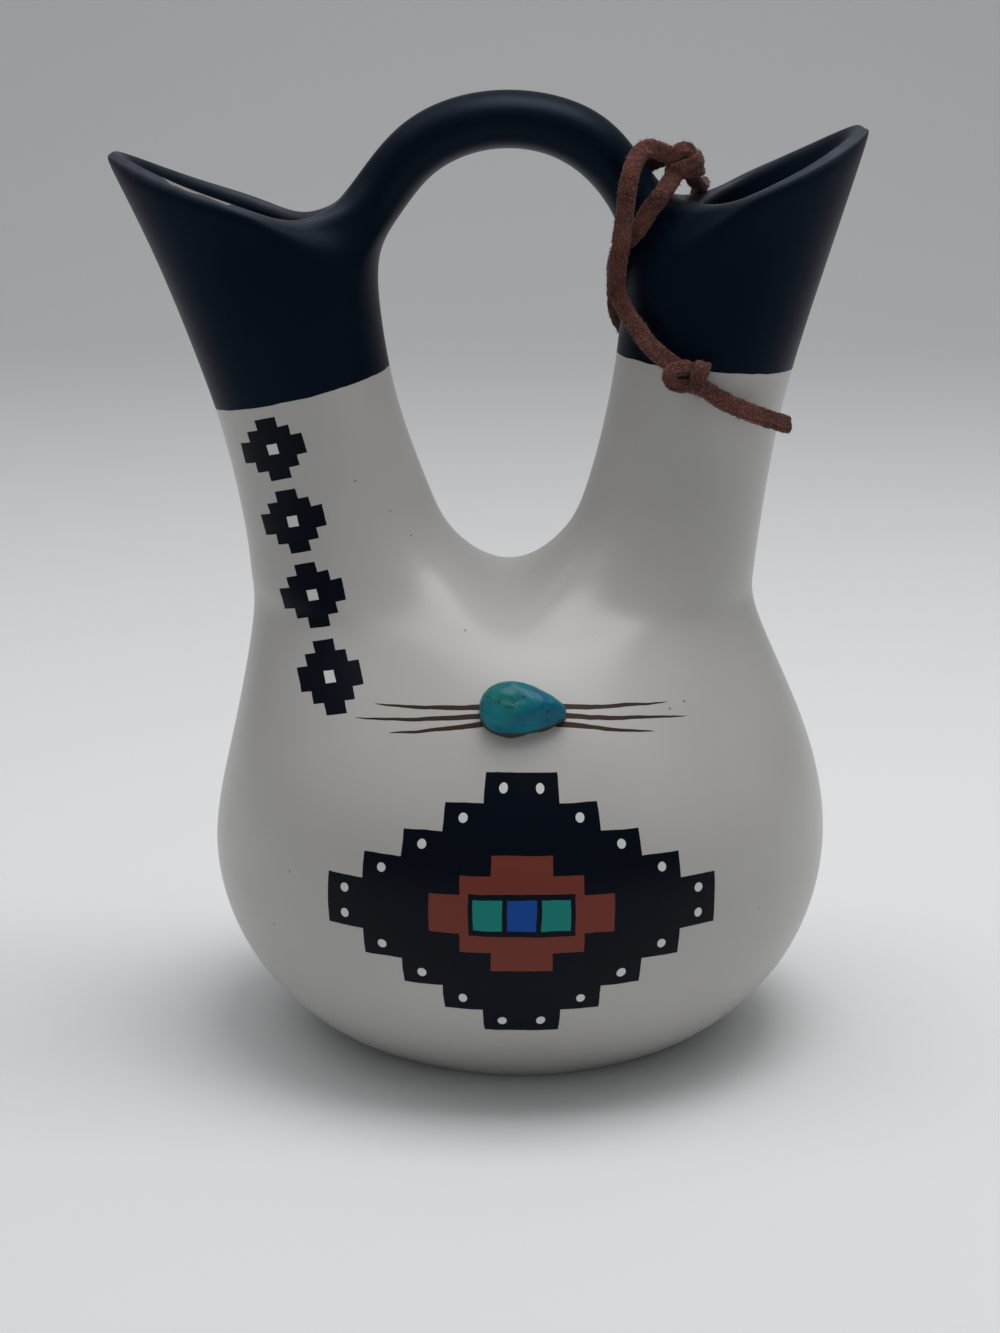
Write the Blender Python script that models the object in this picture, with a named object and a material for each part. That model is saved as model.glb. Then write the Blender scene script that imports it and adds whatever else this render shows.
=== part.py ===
"""Wedding vase: a hollow clay body with two flared spouts joined by an arched handle, a turquoise nugget
cemented to its front, and a knotted suede lace tied round the handle's right root.

Sizes are in millimetres and become metres where a mesh is made. The origin is the middle of the flat foot,
+X runs to the right spout, +Y to the back, +Z up. The clay is modelled as one surface through a few rings
of points and is then parted where the potter joins or paints it.
"""
from dataclasses import dataclass
from math import atan, atan2, cos, hypot, pi, radians, sin, sqrt

import bmesh
import bpy
from mathutils import Vector
from mathutils.bvhtree import BVHTree

MM = 0.001

# Clay body
FOOT_RADIUS = 39.8
BELLY_RADIUS = 66.6
BELLY_HEIGHT = 42.0
BOWL_HEIGHT = 50.0
SHOULDER_HEIGHT = 90.0
SADDLE_HEIGHT = 101.2
SADDLE_X = -2.5
LOWER_RING_ANGLES = (67.5, 45.0, 22.5)
WALL = 4.8
FLOOR = 6.5

# Necks and spouts
NECK_START = 14.0
COLLAR_SHELF = 0.4
COLLAR_LOWERING = 0.25
SADDLE_SHELF = 0.8
CREST_SIDE = 0.56
CREST_DROP = 0.2
NECK_WAIST_HEIGHT = 135.0
MOUTH_DEPTH = 20.0
SPOUT_PINCH = 0.35
LIP_THICKNESS = 3.8
LIP_BAND = 4.0
TIP_LEAN = 0.95

# Handle and its roots on the necks
OVERALL_HEIGHT = 203.2
HANDLE_THICKNESS = 12.1
HANDLE_WIDTH = 15.0
HANDLE_SPRING_HEIGHT = 166.0
HANDLE_SEAT_HEIGHT = 169.0
HANDLE_ANGLES = (-62.0, -38.0, -13.0, 13.0, 38.0, 62.0)
HANDLE_CUT_ANGLE = 55.0
ROOT_DEPTH = 6.0
ROOT_THICKNESS = 4.0
ROOT_TILT = 0.4

# Turquoise nugget and its cement
STONE_X = 0.2
STONE_Z = 81.9
STONE_WIDTH = 17.3
STONE_BREADTH = 10.3
STONE_HEIGHT = 5.2
STONE_EDGE = 0.7
STONE_POINT_ANGLE = -6.0
STONE_TAPER = 0.4
STONE_DOME_POWER = 2.4
BED_THICKNESS = 0.8
BED_SHARE = 0.87
BED_EDGE_POWER = 4.0

# Suede lace: a loop round the handle's right root, a tail in front and one behind
LACE_DIAMETER = 3.0
LACE_STEP = 2.0
KNOT_RIDGE = 0.06
KNOT_TURNS = 3.0
KNOT_SLANT = 2.5

# Knots and routes, each point measured from the handle's right root
UPPER_KNOT = {"centre": (12.2, -6.0, 19.8), "size": (3.6, 3.2, 4.4)}
LOWER_KNOT = {"centre": (12.9, -21.6, -22.5), "size": (4.3, 2.9, 3.4)}
FRONT_ROUTE = ((5.2, -9.5, 22.8), (2.2, -12.0, 20.6), (0.7, -13.8, 16.0), (0.0, -14.4, 10.6),
               (-0.7, -13.8, 4.3), (-1.3, -12.2, -1.5), (-1.3, -10.9, -6.2), (0.3, -12.0, -10.0),
               (2.9, -15.4, -13.8), (6.1, -18.8, -17.5))
END_ROUTE = ((19.0, -22.0, -26.8), (24.7, -21.0, -29.7), (30.5, -19.0, -32.0), (34.4, -17.0, -33.5))
LOOP_ROUTE = ((8.0, -10.9, 13.9), (5.3, -10.6, 10.2), (2.6, -10.5, 6.0), (-0.7, -7.8, 2.0),
              (-2.0, -2.5, -2.6), (-1.9, 2.5, -7.4), (-0.9, 6.8, -13.0), (2.0, 11.5, -17.5),
              (6.6, 16.3, -18.5), (11.5, 19.3, -12.5), (15.0, 20.6, -4.0), (16.7, 20.6, 4.0),
              (17.2, 16.0, 12.6), (16.8, 9.0, 13.9), (15.7, 2.5, 14.6))
BACK_ROUTE = ((8.6, 1.0, 20.0), (4.7, 6.9, 17.4), (2.9, 11.6, 12.0), (4.3, 14.2, 5.0),
              (7.6, 16.9, -0.8))

# Gaps and mesh detail
JOIN_GAP = 0.3
DETAIL = 2
BODY_SIDES = 12
NECK_SIDES = 10
OUTERMOST = 3
HANDLE_SIDES = 8
PAD_SIDES = 20
PAD_RINGS = 5
KNOT_SIDES = 16
ROUTE_STEPS = 24
SETTLING_ROUNDS = 60
CUT_REACH = 120.0


@dataclass
class Neck:
    """One neck with its spout, from the shoulder to the lip."""
    name: str
    side: int
    waist: float
    waist_height: float
    fullness: float
    spread: float
    lean: float
    radius: float
    flare: float
    tip: float
    tip_height: float
    lip_height: float
    mouth_end: float
    handle_set: float
    lip_sweep: float
    far_lift: float
    paint_height: float
    paint_slope: float

    def axis(self, height):
        """Place of the neck's leaning axis at a height."""
        return SADDLE_X + self.side * (self.spread + self.lean * (height - SADDLE_HEIGHT))

    def radius_at(self, height):
        """The neck is narrowest at NECK_WAIST_HEIGHT and flares above and below it."""
        return self.radius + self.flare * (height - NECK_WAIST_HEIGHT) ** 2

    def outer_at(self, height):
        """On its outer side the neck flares half as much where it meets the shoulder."""
        share = 0.5 if height < NECK_WAIST_HEIGHT else 1.0
        return self.radius + share * self.flare * (height - NECK_WAIST_HEIGHT) ** 2

    def depth_at(self, height):
        """Front to back the neck keeps its waist: only its side is pulled out into the spout."""
        return self.radius_at(min(height, NECK_WAIST_HEIGHT))

    def paint_line(self, x):
        """Height of the edge between white and black slip."""
        return self.paint_height + self.paint_slope * (x - self.axis(self.paint_height))


LEFT = Neck("left", -1, waist=57.9, waist_height=92.0, fullness=1.0, spread=33.9, lean=0.25, radius=18.9,
            flare=0.0042, tip=85.7, tip_height=190.0, lip_height=176.2, mouth_end=42.0, handle_set=4.4,
            lip_sweep=1.25, far_lift=-1.15, paint_height=141.3, paint_slope=0.239)
RIGHT = Neck("right", 1, waist=50.3, waist_height=100.0, fullness=1.25, spread=33.0, lean=0.185, radius=18.2,
             flare=0.0031, tip=71.7, tip_height=195.2, lip_height=179.8, mouth_end=37.0, handle_set=6.7,
             lip_sweep=1.15, far_lift=1.1, paint_height=147.0, paint_slope=-0.085)


def smoothstep(t):
    return t * t * (3.0 - 2.0 * t)


def remove_all():
    for obj in list(bpy.data.objects):
        bpy.data.objects.remove(obj, do_unlink=True)


def link(name, data, material=None):
    obj = bpy.data.objects.new(name, data)
    bpy.context.collection.objects.link(obj)
    if material:
        data.materials.append(material)
    return obj


def plain_material(name, colour, roughness):
    material = bpy.data.materials.new(name)
    material.use_nodes = True
    shader = material.node_tree.nodes["Principled BSDF"]
    shader.inputs["Base Color"].default_value = (*colour, 1.0)
    shader.inputs["Roughness"].default_value = roughness
    return material


def belly_drop():
    """Depth below the belly line at which the lower body's ellipse would close."""
    return BELLY_HEIGHT / sqrt(1.0 - (FOOT_RADIUS / BELLY_RADIUS) ** 2)


def belly_radius(height):
    """Radius of the thrown lower body, an ellipse that the foot cuts off."""
    return BELLY_RADIUS * sqrt(max(1.0 - ((height - BELLY_HEIGHT) / belly_drop()) ** 2, 0.0))


def body_side(neck, height):
    """Half width of the body under one neck: round to the belly line, then drawn in to the neck's waist."""
    if height <= BELLY_HEIGHT:
        return belly_radius(height)
    t = min((height - BELLY_HEIGHT) / (neck.waist_height - BELLY_HEIGHT), 1.0)
    return BELLY_RADIUS + (neck.waist - BELLY_RADIUS) * smoothstep(t ** neck.fullness)


def body_depth(height):
    """Half depth of the body, front to back: it domes over to the saddle between the necks."""
    if height <= BELLY_HEIGHT:
        return belly_radius(height)
    rise = SADDLE_HEIGHT - BELLY_HEIGHT
    return BELLY_RADIUS * sqrt(max(1.0 - ((height - BELLY_HEIGHT) / rise) ** 2, 0.0))


def body_ring(height, inset=0.0):
    """Points of one level ring of the body, from the front round by the right."""
    share = max(height - BELLY_HEIGHT, 0.0) / (SADDLE_HEIGHT - BELLY_HEIGHT)
    middle = SADDLE_X * share
    depth = body_depth(height + inset) if height > BELLY_HEIGHT else body_depth(height)
    depth -= inset
    points = []
    for k in range(BODY_SIDES):
        angle = 2.0 * pi * k / BODY_SIDES - pi / 2.0
        neck = RIGHT if cos(angle) > 0.0 else LEFT
        half = body_side(neck, height) - neck.side * middle - inset
        points.append(Vector((middle + half * cos(angle), depth * sin(angle), height)))
    return points


def even_heights(low, high, count):
    """Heights from low to high in even steps, both included."""
    return [low + (high - low) * i / count for i in range(count + 1)]


def outer_heights():
    """Heights of the body's rings outside: even angles below the belly line, past the foot's cut."""
    lower = [BELLY_HEIGHT - belly_drop() * sin(radians(angle)) for angle in LOWER_RING_ANGLES]
    return lower + even_heights(BELLY_HEIGHT, SHOULDER_HEIGHT, 2)


def inner_heights():
    """Heights of the body's rings inside, clear of the floor and of the shoulder."""
    return even_heights(FLOOR + WALL, SHOULDER_HEIGHT - WALL / 2.0, 3)


def neck_levels(top, count, tilt, seat):
    """Height, tilt and widening of each neck ring: only the last one is turned for the handle's root."""
    heights = even_heights(SADDLE_HEIGHT + NECK_START, top, count)
    return [(height, 1.0, 0.0) for height in heights[:-1]] + [(heights[-1], tilt, seat)]


def neck_angles():
    """Angles round a neck from its outer side, starting where the shoulder ring is parted."""
    step = 2.0 * pi / NECK_SIDES
    return [step * (j - OUTERMOST) for j in range(NECK_SIDES)]


def neck_ring(neck, height, tilt, inset=0.0, seat=0.0):
    """Points of one ring round the neck's axis, square to it when tilt is 1."""
    turn = atan(neck.lean) * tilt
    outer = neck.outer_at(height) - inset
    inner = neck.radius_at(height) - inset - seat
    depth = neck.depth_at(height) - inset
    points = []
    for angle in neck_angles():
        out = (outer if cos(angle) > 0.0 else inner) * cos(angle)
        points.append(Vector((neck.axis(height) + neck.side * out * cos(turn),
                              neck.side * depth * sin(angle),
                              height - out * sin(turn))))
    return points


def collar_ring(neck, lower, upper, inset):
    """Ring between the shoulder and a neck: low in front and behind, drawn in to the waist at the side."""
    side = (lower[OUTERMOST] + upper[OUTERMOST]) / 2.0
    waist = neck.side * (body_side(neck, side.z) - inset)
    points = []
    for below, above, angle in zip(lower, upper, neck_angles()):
        shelf = abs(sin(angle)) if cos(angle) > 0.0 else max(abs(sin(angle)), SADDLE_SHELF)
        inward = (1.0 + COLLAR_SHELF * shelf) / 2.0
        upward = (1.0 - COLLAR_LOWERING * shelf) / 2.0
        drawn = (waist - side.x) * max(cos(angle), 0.0)
        points.append(Vector((below.x + (above.x - below.x) * inward + drawn,
                              below.y + (above.y - below.y) * inward,
                              below.z + (above.z - below.z) * upward)))
    return points


def lip_ring(neck):
    """Crest of the lip: pinched to a point at the spout's tip and lowest near the handle."""
    half = (neck.tip - neck.mouth_end) / 2.0
    points = []
    for angle in neck_angles():
        reach = (1.0 + cos(angle)) / 2.0
        depth = MOUTH_DEPTH * sin(angle) * (1.0 - SPOUT_PINCH * reach)
        height = neck.lip_height + (neck.tip_height - neck.lip_height) * reach ** neck.lip_sweep
        y = neck.side * depth
        points.append(Vector((neck.side * (neck.mouth_end + half + half * cos(angle)), y,
                              height + neck.far_lift * y / (2.0 * MOUTH_DEPTH))))
    return points


def below_lip(neck, lip, under, offset):
    """Ring a band's width below the lip, set out from the wall's middle by an offset."""
    centre = sum(lip, Vector()) / len(lip)
    points = []
    for crest, foot, angle in zip(lip, under, neck_angles()):
        down = (foot - crest).normalized()
        out = crest - centre
        out.z = 0.0
        out.normalize()
        lean = TIP_LEAN * max(cos(angle), 0.0) ** 4
        points.append(crest + down * LIP_BAND + out * (offset - lean))
    return points


class Cage:
    """Rings of points joined by four-sided faces."""

    def __init__(self):
        self.points = []
        self.faces = []

    def ring(self, points):
        start = len(self.points)
        self.points += [Vector(p) for p in points]
        return list(range(start, len(self.points)))

    def band(self, lower, upper, skip=()):
        count = len(lower)
        for i in range(count):
            if i not in skip:
                j = (i + 1) % count
                self.faces.append((lower[i], lower[j], upper[j], upper[i]))

    def disc(self, ring, centre):
        middle = self.ring([centre])[0]
        count = len(ring)
        for i in range(0, count, 2):
            self.faces.append((middle, ring[i], ring[i + 1], ring[(i + 2) % count]))

    def drop_unused_points(self):
        """Leave out the points that lie where the handle's roots open the rings."""
        used = sorted({i for face in self.faces for i in face})
        order = {old: new for new, old in enumerate(used)}
        self.points = [self.points[i] for i in used]
        self.faces = [tuple(order[i] for i in face) for face in self.faces]

    def pass_through_points(self):
        """Push the cage out until the smooth surface passes through the given points."""
        count = len(self.points)
        edges = [set() for _ in range(count)]
        corners = [[] for _ in range(count)]
        for face in self.faces:
            for i, v in enumerate(face):
                edges[v] |= {face[i - 1], face[(i + 1) % 4]}
                corners[v].append(face[(i + 2) % 4])
        targets = [p.copy() for p in self.points]
        for _ in range(SETTLING_ROUNDS):
            moves = []
            for v in range(count):
                n = len(corners[v])
                near = sum((self.points[e] for e in edges[v]), Vector())
                far = sum((self.points[c] for c in corners[v]), Vector())
                smooth = (self.points[v] * n * n + near * 4.0 + far) / (n * n + 5.0 * n)
                moves.append(targets[v] - smooth)
            for v in range(count):
                self.points[v] += moves[v]

    def mesh(self, name):
        bm = bmesh.new()
        verts = [bm.verts.new(p * MM) for p in self.points]
        for face in self.faces:
            bm.faces.new([verts[i] for i in face])
        bmesh.ops.recalc_face_normals(bm, faces=bm.faces)
        mesh = bpy.data.meshes.new(name)
        bm.to_mesh(mesh)
        bm.free()
        mesh.shade_smooth()
        return mesh


def pants(cage, heights, levels, inset, saddle, floor):
    """Body rings parted at the saddle into two legs of neck rings."""
    rings = [cage.ring(body_ring(h, inset)) for h in heights]
    cage.disc(rings[0], Vector((0.0, 0.0, floor)))
    for lower, upper in zip(rings, rings[1:]):
        cage.band(lower, upper)
    front_y = body_ring(heights[-1], inset)[0].y
    crest = cage.ring(saddle_points(saddle, front_y, heights[-1]))
    half = BODY_SIDES // 2
    top = rings[-1] + rings[-1][:1]
    legs = {"right": top[:half + 1] + crest[::-1], "left": top[half:] + crest}
    ends = {}
    for neck in (LEFT, RIGHT):
        first = neck_ring(neck, *levels[0][:2], inset)
        last = cage.ring(collar_ring(neck, [cage.points[i] for i in legs[neck.name]], first, inset))
        cage.band(legs[neck.name], last)
        for height, tilt, seat in levels:
            nxt = cage.ring(neck_ring(neck, height, tilt, inset, seat))
            cage.band(last, nxt)
            last = nxt
        ends[neck.name] = last
    return ends


def saddle_points(saddle, front_y, front_z):
    """Three points across the saddle, front to back, the outer two a little lower."""
    side = front_y * CREST_SIDE
    low = saddle - (saddle - front_z) * CREST_DROP
    return [Vector((SADDLE_X, side, low)), Vector((SADDLE_X, 0.0, saddle)), Vector((SADDLE_X, -side, low))]


def handle_root(neck):
    """Innermost point of a neck at the height where the handle grows out of it."""
    return neck_ring(neck, HANDLE_SEAT_HEIGHT, 0.0)[NECK_SIDES - 2]


def arch(angle):
    """Point and outward direction on the handle's centre line, at an angle from its crown."""
    neck = LEFT if angle < 0.0 else RIGHT
    width = abs(handle_root(neck).x - SADDLE_X) + neck.handle_set
    rise = OVERALL_HEIGHT - HANDLE_THICKNESS / 2.0 - HANDLE_SPRING_HEIGHT
    point = Vector((SADDLE_X + width * sin(angle), 0.0, HANDLE_SPRING_HEIGHT + rise * cos(angle)))
    out = Vector((rise * sin(angle), 0.0, width * cos(angle))).normalized()
    return point, out


def handle_ring(angle):
    """Points round the handle, from the front of its underside."""
    point, out = arch(angle)
    points = []
    for k in range(HANDLE_SIDES):
        turn = 2.0 * pi / HANDLE_SIDES * (k - 1)
        points.append(point - out * (cos(turn) * HANDLE_THICKNESS / 2.0)
                      + Vector((0.0, sin(turn) * HANDLE_WIDTH / 2.0, 0.0)))
    return points


def vase_mesh():
    cage = Cage()
    outside_levels = neck_levels(HANDLE_SEAT_HEIGHT, 3, 0.0, 0.0)
    inside_levels = neck_levels(HANDLE_SEAT_HEIGHT - ROOT_DEPTH, 2, ROOT_TILT, ROOT_THICKNESS)
    outer = pants(cage, outer_heights(), outside_levels, 0.0, SADDLE_HEIGHT, BELLY_HEIGHT - belly_drop())
    inner = pants(cage, inner_heights(), inside_levels, WALL, SADDLE_HEIGHT - WALL, FLOOR)
    roots = {}
    for neck in (LEFT, RIGHT):
        lip_points = lip_ring(neck)
        under = [cage.points[i] for i in outer[neck.name]]
        within = [cage.points[i] for i in inner[neck.name]]
        lip = cage.ring(lip_points)
        outside = cage.ring(below_lip(neck, lip_points, under, LIP_THICKNESS / 2.0))
        inside = cage.ring(below_lip(neck, lip_points, within, -LIP_THICKNESS / 2.0))
        first = NECK_SIDES - 3
        skipped = (first, first + 1)
        cage.band(outer[neck.name], outside, skip=skipped)
        cage.band(outside, lip, skip=skipped)
        cage.band(lip, inside)
        cage.band(inside, inner[neck.name])
        low = outer[neck.name][first:]
        high = lip[first:]
        roots[neck.name] = [*low, outside[first + 2], *high[::-1], outside[first]]
    last = roots["left"]
    for angle in HANDLE_ANGLES:
        following = cage.ring(handle_ring(radians(angle)))
        cage.band(last, following)
        last = following
    right = roots["right"]
    cage.band(last, right[2::-1] + right[:2:-1])
    cage.drop_unused_points()
    cage.pass_through_points()
    return cage.mesh("vase")


def prism(name, outline):
    """Cutting block: an outline in the XZ plane, drawn out front and back past the clay."""
    bm = bmesh.new()
    front = [bm.verts.new(Vector((x, -CUT_REACH, z)) * MM) for x, z in outline]
    face = bm.faces.new(front)
    grown = bmesh.ops.extrude_face_region(bm, geom=[face])["geom"]
    verts = [g for g in grown if isinstance(g, bmesh.types.BMVert)]
    bmesh.ops.translate(bm, verts=verts, vec=Vector((0.0, 2.0 * CUT_REACH, 0.0)) * MM)
    bmesh.ops.recalc_face_normals(bm, faces=bm.faces)
    mesh = bpy.data.meshes.new(name)
    bm.to_mesh(mesh)
    bm.free()
    obj = link(name, mesh)
    obj.hide_render = True
    obj.display_type = "WIRE"
    return obj


def clay_piece(name, mesh, material, outline):
    """The part of the vase inside one outline."""
    obj = link(name, mesh.copy(), material)
    sub = obj.modifiers.new("smooth", "SUBSURF")
    sub.levels = DETAIL
    sub.render_levels = DETAIL
    cut = obj.modifiers.new("parted", "BOOLEAN")
    cut.operation = "INTERSECT"
    cut.solver = "EXACT"
    cut.object = prism("cut_" + name, outline)
    return obj


def handle_cut(neck, gap):
    """Line across the handle at its root, as a foot inside the arch and a far end outside it."""
    angle = radians(neck.side * HANDLE_CUT_ANGLE)
    point, out = arch(angle)
    along = Vector((-out.z, 0.0, out.x)) * gap * neck.side
    foot = point - out * HANDLE_THICKNESS + along
    return (foot.x, foot.z), ((foot + out * CUT_REACH).x, (foot + out * CUT_REACH).z)


def clay_outlines():
    """Outline of each clay piece, with half the join gap kept on both sides of every cut."""
    half = JOIN_GAP / 2.0
    far = CUT_REACH
    left_paint, right_paint = LEFT.paint_line, RIGHT.paint_line
    left_foot, left_far = handle_cut(LEFT, -half)
    right_foot, right_far = handle_cut(RIGHT, -half)
    bowl = [(-far, 0.0), (far, 0.0), (far, BOWL_HEIGHT - half), (-far, BOWL_HEIGHT - half)]
    shoulder = [(-far, BOWL_HEIGHT + half), (far, BOWL_HEIGHT + half), (far, right_paint(far) - half),
                (SADDLE_X, right_paint(SADDLE_X) - half), (SADDLE_X, left_paint(SADDLE_X) - half),
                (-far, left_paint(-far) - half)]
    spout_left = [(-far, left_paint(-far) + half), (SADDLE_X, left_paint(SADDLE_X) + half),
                  left_foot, left_far]
    spout_right = [(far, right_paint(far) + half), right_far, right_foot,
                   (SADDLE_X, right_paint(SADDLE_X) + half)]
    left_foot, left_far = handle_cut(LEFT, half)
    right_foot, right_far = handle_cut(RIGHT, half)
    handle = [left_foot, right_foot, right_far, (SADDLE_X, OVERALL_HEIGHT + far), left_far]
    return {"bowl": bowl, "shoulder": shoulder, "spout_left": spout_left, "spout_right": spout_right,
            "handle": handle}


def clay_surface(mesh):
    """The smoothed clay as a tree, for what sits on it or winds round it."""
    obj = link("clay_probe", mesh)
    sub = obj.modifiers.new("smooth", "SUBSURF")
    sub.levels = DETAIL
    graph = bpy.context.evaluated_depsgraph_get()
    tree = BVHTree.FromObject(obj, graph)
    bpy.data.objects.remove(obj, do_unlink=True)
    return tree


def pad(name, tree, seat, outline, back, front, material):
    """Closed pad that follows the clay: back and front give its heights above the surface."""
    centre, normal = seat
    across = Vector((0.0, 0.0, 1.0)).cross(normal).normalized()
    up = normal.cross(across)
    bm = bmesh.new()
    layers = []
    for height in (back, front):
        rings = []
        for i in range(PAD_RINGS + 1):
            share = i / PAD_RINGS
            count = 1 if i == 0 else PAD_SIDES
            ring = []
            for j in range(count):
                angle = 2.0 * pi * j / PAD_SIDES
                right, above = outline(angle)
                flat = (across * right + up * above) * share
                hit, face, _, _ = tree.ray_cast((centre + flat + normal * STONE_WIDTH) * MM, -normal)
                ring.append(bm.verts.new(hit + face * height(share) * MM))
            rings.append(ring)
        layers.append(rings)
    for rings, turn in zip(layers, (-1, 1)):
        for i in range(PAD_RINGS):
            for j in range(PAD_SIDES):
                k = (j + 1) % PAD_SIDES
                if i == 0:
                    face = [rings[0][0], rings[1][j], rings[1][k]]
                else:
                    face = [rings[i][j], rings[i + 1][j], rings[i + 1][k], rings[i][k]]
                bm.faces.new(face[::turn])
    low, high = layers[0][-1], layers[1][-1]
    for j in range(PAD_SIDES):
        k = (j + 1) % PAD_SIDES
        bm.faces.new([low[j], low[k], high[k], high[j]])
    bmesh.ops.recalc_face_normals(bm, faces=bm.faces)
    mesh = bpy.data.meshes.new(name)
    bm.to_mesh(mesh)
    bm.free()
    mesh.shade_smooth()
    return link(name, mesh, material)


def stone_outline(angle):
    """Point of the nugget's pear outline, as right and up: it tapers to a point at the lower right."""
    along = STONE_WIDTH / 2.0 * cos(angle)
    across = STONE_BREADTH / 2.0 * sin(angle) * (1.0 - STONE_TAPER * cos(angle))
    turn = radians(STONE_POINT_ANGLE)
    return along * cos(turn) - across * sin(turn), along * sin(turn) + across * cos(turn)


def bed_outline(angle):
    right, above = stone_outline(angle)
    return right * BED_SHARE, above * BED_SHARE


def build_stone(tree, turquoise, cement):
    """The cement bed and the nugget on it, both following the clay below."""
    hit, normal, _, _ = tree.ray_cast(Vector((STONE_X, -2.0 * BELLY_RADIUS, STONE_Z)) * MM,
                                      Vector((0.0, 1.0, 0.0)))
    seat = (hit / MM, normal)
    bed_top = JOIN_GAP + BED_THICKNESS
    stone_base = bed_top + JOIN_GAP
    dome_height = STONE_HEIGHT - STONE_EDGE

    def bed_back(share):
        return JOIN_GAP

    def bed_front(share):
        return bed_top - BED_THICKNESS / 2.0 * share ** BED_EDGE_POWER

    def stone_back(share):
        return stone_base

    def stone_front(share):
        return stone_base + STONE_EDGE + dome_height * sqrt(1.0 - share ** STONE_DOME_POWER)

    pad("nugget_bed", tree, seat, bed_outline, bed_back, bed_front, cement)
    pad("turquoise_nugget", tree, seat, stone_outline, stone_back, stone_front, turquoise)


def smooth_route(points, step):
    """Points at an even step along a smooth curve through the route's own points."""
    points = [Vector(p) for p in points]
    padded = [points[0] * 2.0 - points[1]] + points + [points[-1] * 2.0 - points[-2]]
    dense = []
    for a, b, c, d in zip(padded, padded[1:], padded[2:], padded[3:]):
        for i in range(ROUTE_STEPS):
            t = i / ROUTE_STEPS
            dense.append(0.5 * (2.0 * b + (c - a) * t + (2.0 * a - 5.0 * b + 4.0 * c - d) * t ** 2
                                + (3.0 * b - a - 3.0 * c + d) * t ** 3))
    dense.append(points[-1])
    travel = [0.0]
    for a, b in zip(dense, dense[1:]):
        travel.append(travel[-1] + (b - a).length)
    count = max(round(travel[-1] / step), 3)
    even = []
    i = 0
    for k in range(count + 1):
        goal = travel[-1] * k / count
        while i < len(travel) - 2 and travel[i + 1] < goal:
            i += 1
        share = (goal - travel[i]) / (travel[i + 1] - travel[i])
        even.append(dense[i].lerp(dense[i + 1], min(share, 1.0)))
    return even, travel[-1]


def clear_of_clay(tree, point, clearance):
    """The point itself, or set out from the clay where it lies nearer than the clearance."""
    near, normal, _, _ = tree.find_nearest(point * MM)
    height = (point - near / MM).dot(normal)
    if height >= clearance or (point - near / MM).length >= 2.0 * clearance:
        return point
    return near / MM + normal * clearance


def lace_strand(name, tree, route, material):
    """Round strand along a route, kept clear of the clay between its two ends."""
    points, length = smooth_route(route, LACE_STEP * LACE_DIAMETER)
    clearance = LACE_DIAMETER / 2.0 + JOIN_GAP
    points = [clear_of_clay(tree, point, clearance) for point in points]
    curve = bpy.data.curves.new(name, "CURVE")
    curve.dimensions = "3D"
    curve.bevel_depth = LACE_DIAMETER / 2.0 * MM
    curve.bevel_resolution = 2
    curve.use_fill_caps = True
    spline = curve.splines.new("POLY")
    spline.points.add(len(points) - 1)
    for point, place in zip(spline.points, points):
        point.co = (*(place * MM), 1.0)
    link(name, curve, material)
    print(name, "length", round(length, 1), "mm")


def knot_reach(size, way):
    """Distance from a knot's middle to its surface along a unit direction."""
    return 1.0 / sqrt(sum((way[i] / size[i]) ** 2 for i in range(3)))


def knot_exit(knot, toward):
    """Point where a strand meets a knot, on the line from its middle to the strand's next point."""
    centre = knot["centre"]
    way = (toward - centre).normalized()
    return centre + way * (knot_reach(knot["size"], way) * (1.0 + KNOT_RIDGE) + JOIN_GAP)


def build_knot(name, knot, material):
    """Tight knot: a rounded lump with the lace's turns as slanting ridges."""
    bm = bmesh.new()
    bmesh.ops.create_uvsphere(bm, u_segments=KNOT_SIDES, v_segments=KNOT_SIDES // 2, radius=1.0)
    for vert in bm.verts:
        way = vert.co.normalized()
        turn = atan2(way.z, way.x)
        ridge = 1.0 + KNOT_RIDGE * cos(KNOT_TURNS * turn + KNOT_SLANT * way.y) * hypot(way.x, way.z)
        vert.co = (knot["centre"] + way * knot_reach(knot["size"], way) * ridge) * MM
    mesh = bpy.data.meshes.new(name)
    bm.to_mesh(mesh)
    bm.free()
    mesh.shade_smooth()
    link(name, mesh, material)


def placed_knot(knot, root, tree):
    """A knot in its place by the root, set out from the clay where it would touch."""
    size = knot["size"]
    clearance = min(size) * (1.0 + KNOT_RIDGE) + JOIN_GAP
    return {"centre": clear_of_clay(tree, root + Vector(knot["centre"]), clearance), "size": size}


def build_lace(tree, material):
    """Two knots and the four strands that leave them."""
    root = handle_root(RIGHT)
    upper = placed_knot(UPPER_KNOT, root, tree)
    lower = placed_knot(LOWER_KNOT, root, tree)
    front, end, loop, back = ([root + Vector(offset) for offset in route]
                              for route in (FRONT_ROUTE, END_ROUTE, LOOP_ROUTE, BACK_ROUTE))
    strands = {"lace_front": [knot_exit(upper, front[0]), *front, knot_exit(lower, front[-1])],
               "lace_end": [knot_exit(lower, end[0]), *end],
               "lace_loop": [knot_exit(upper, loop[0]), *loop, knot_exit(upper, loop[-1])],
               "lace_back": [knot_exit(upper, back[0]), *back]}
    build_knot("lace_knot_upper", upper, material)
    build_knot("lace_knot_lower", lower, material)
    for name, route in strands.items():
        lace_strand(name, tree, route, material)


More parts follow.
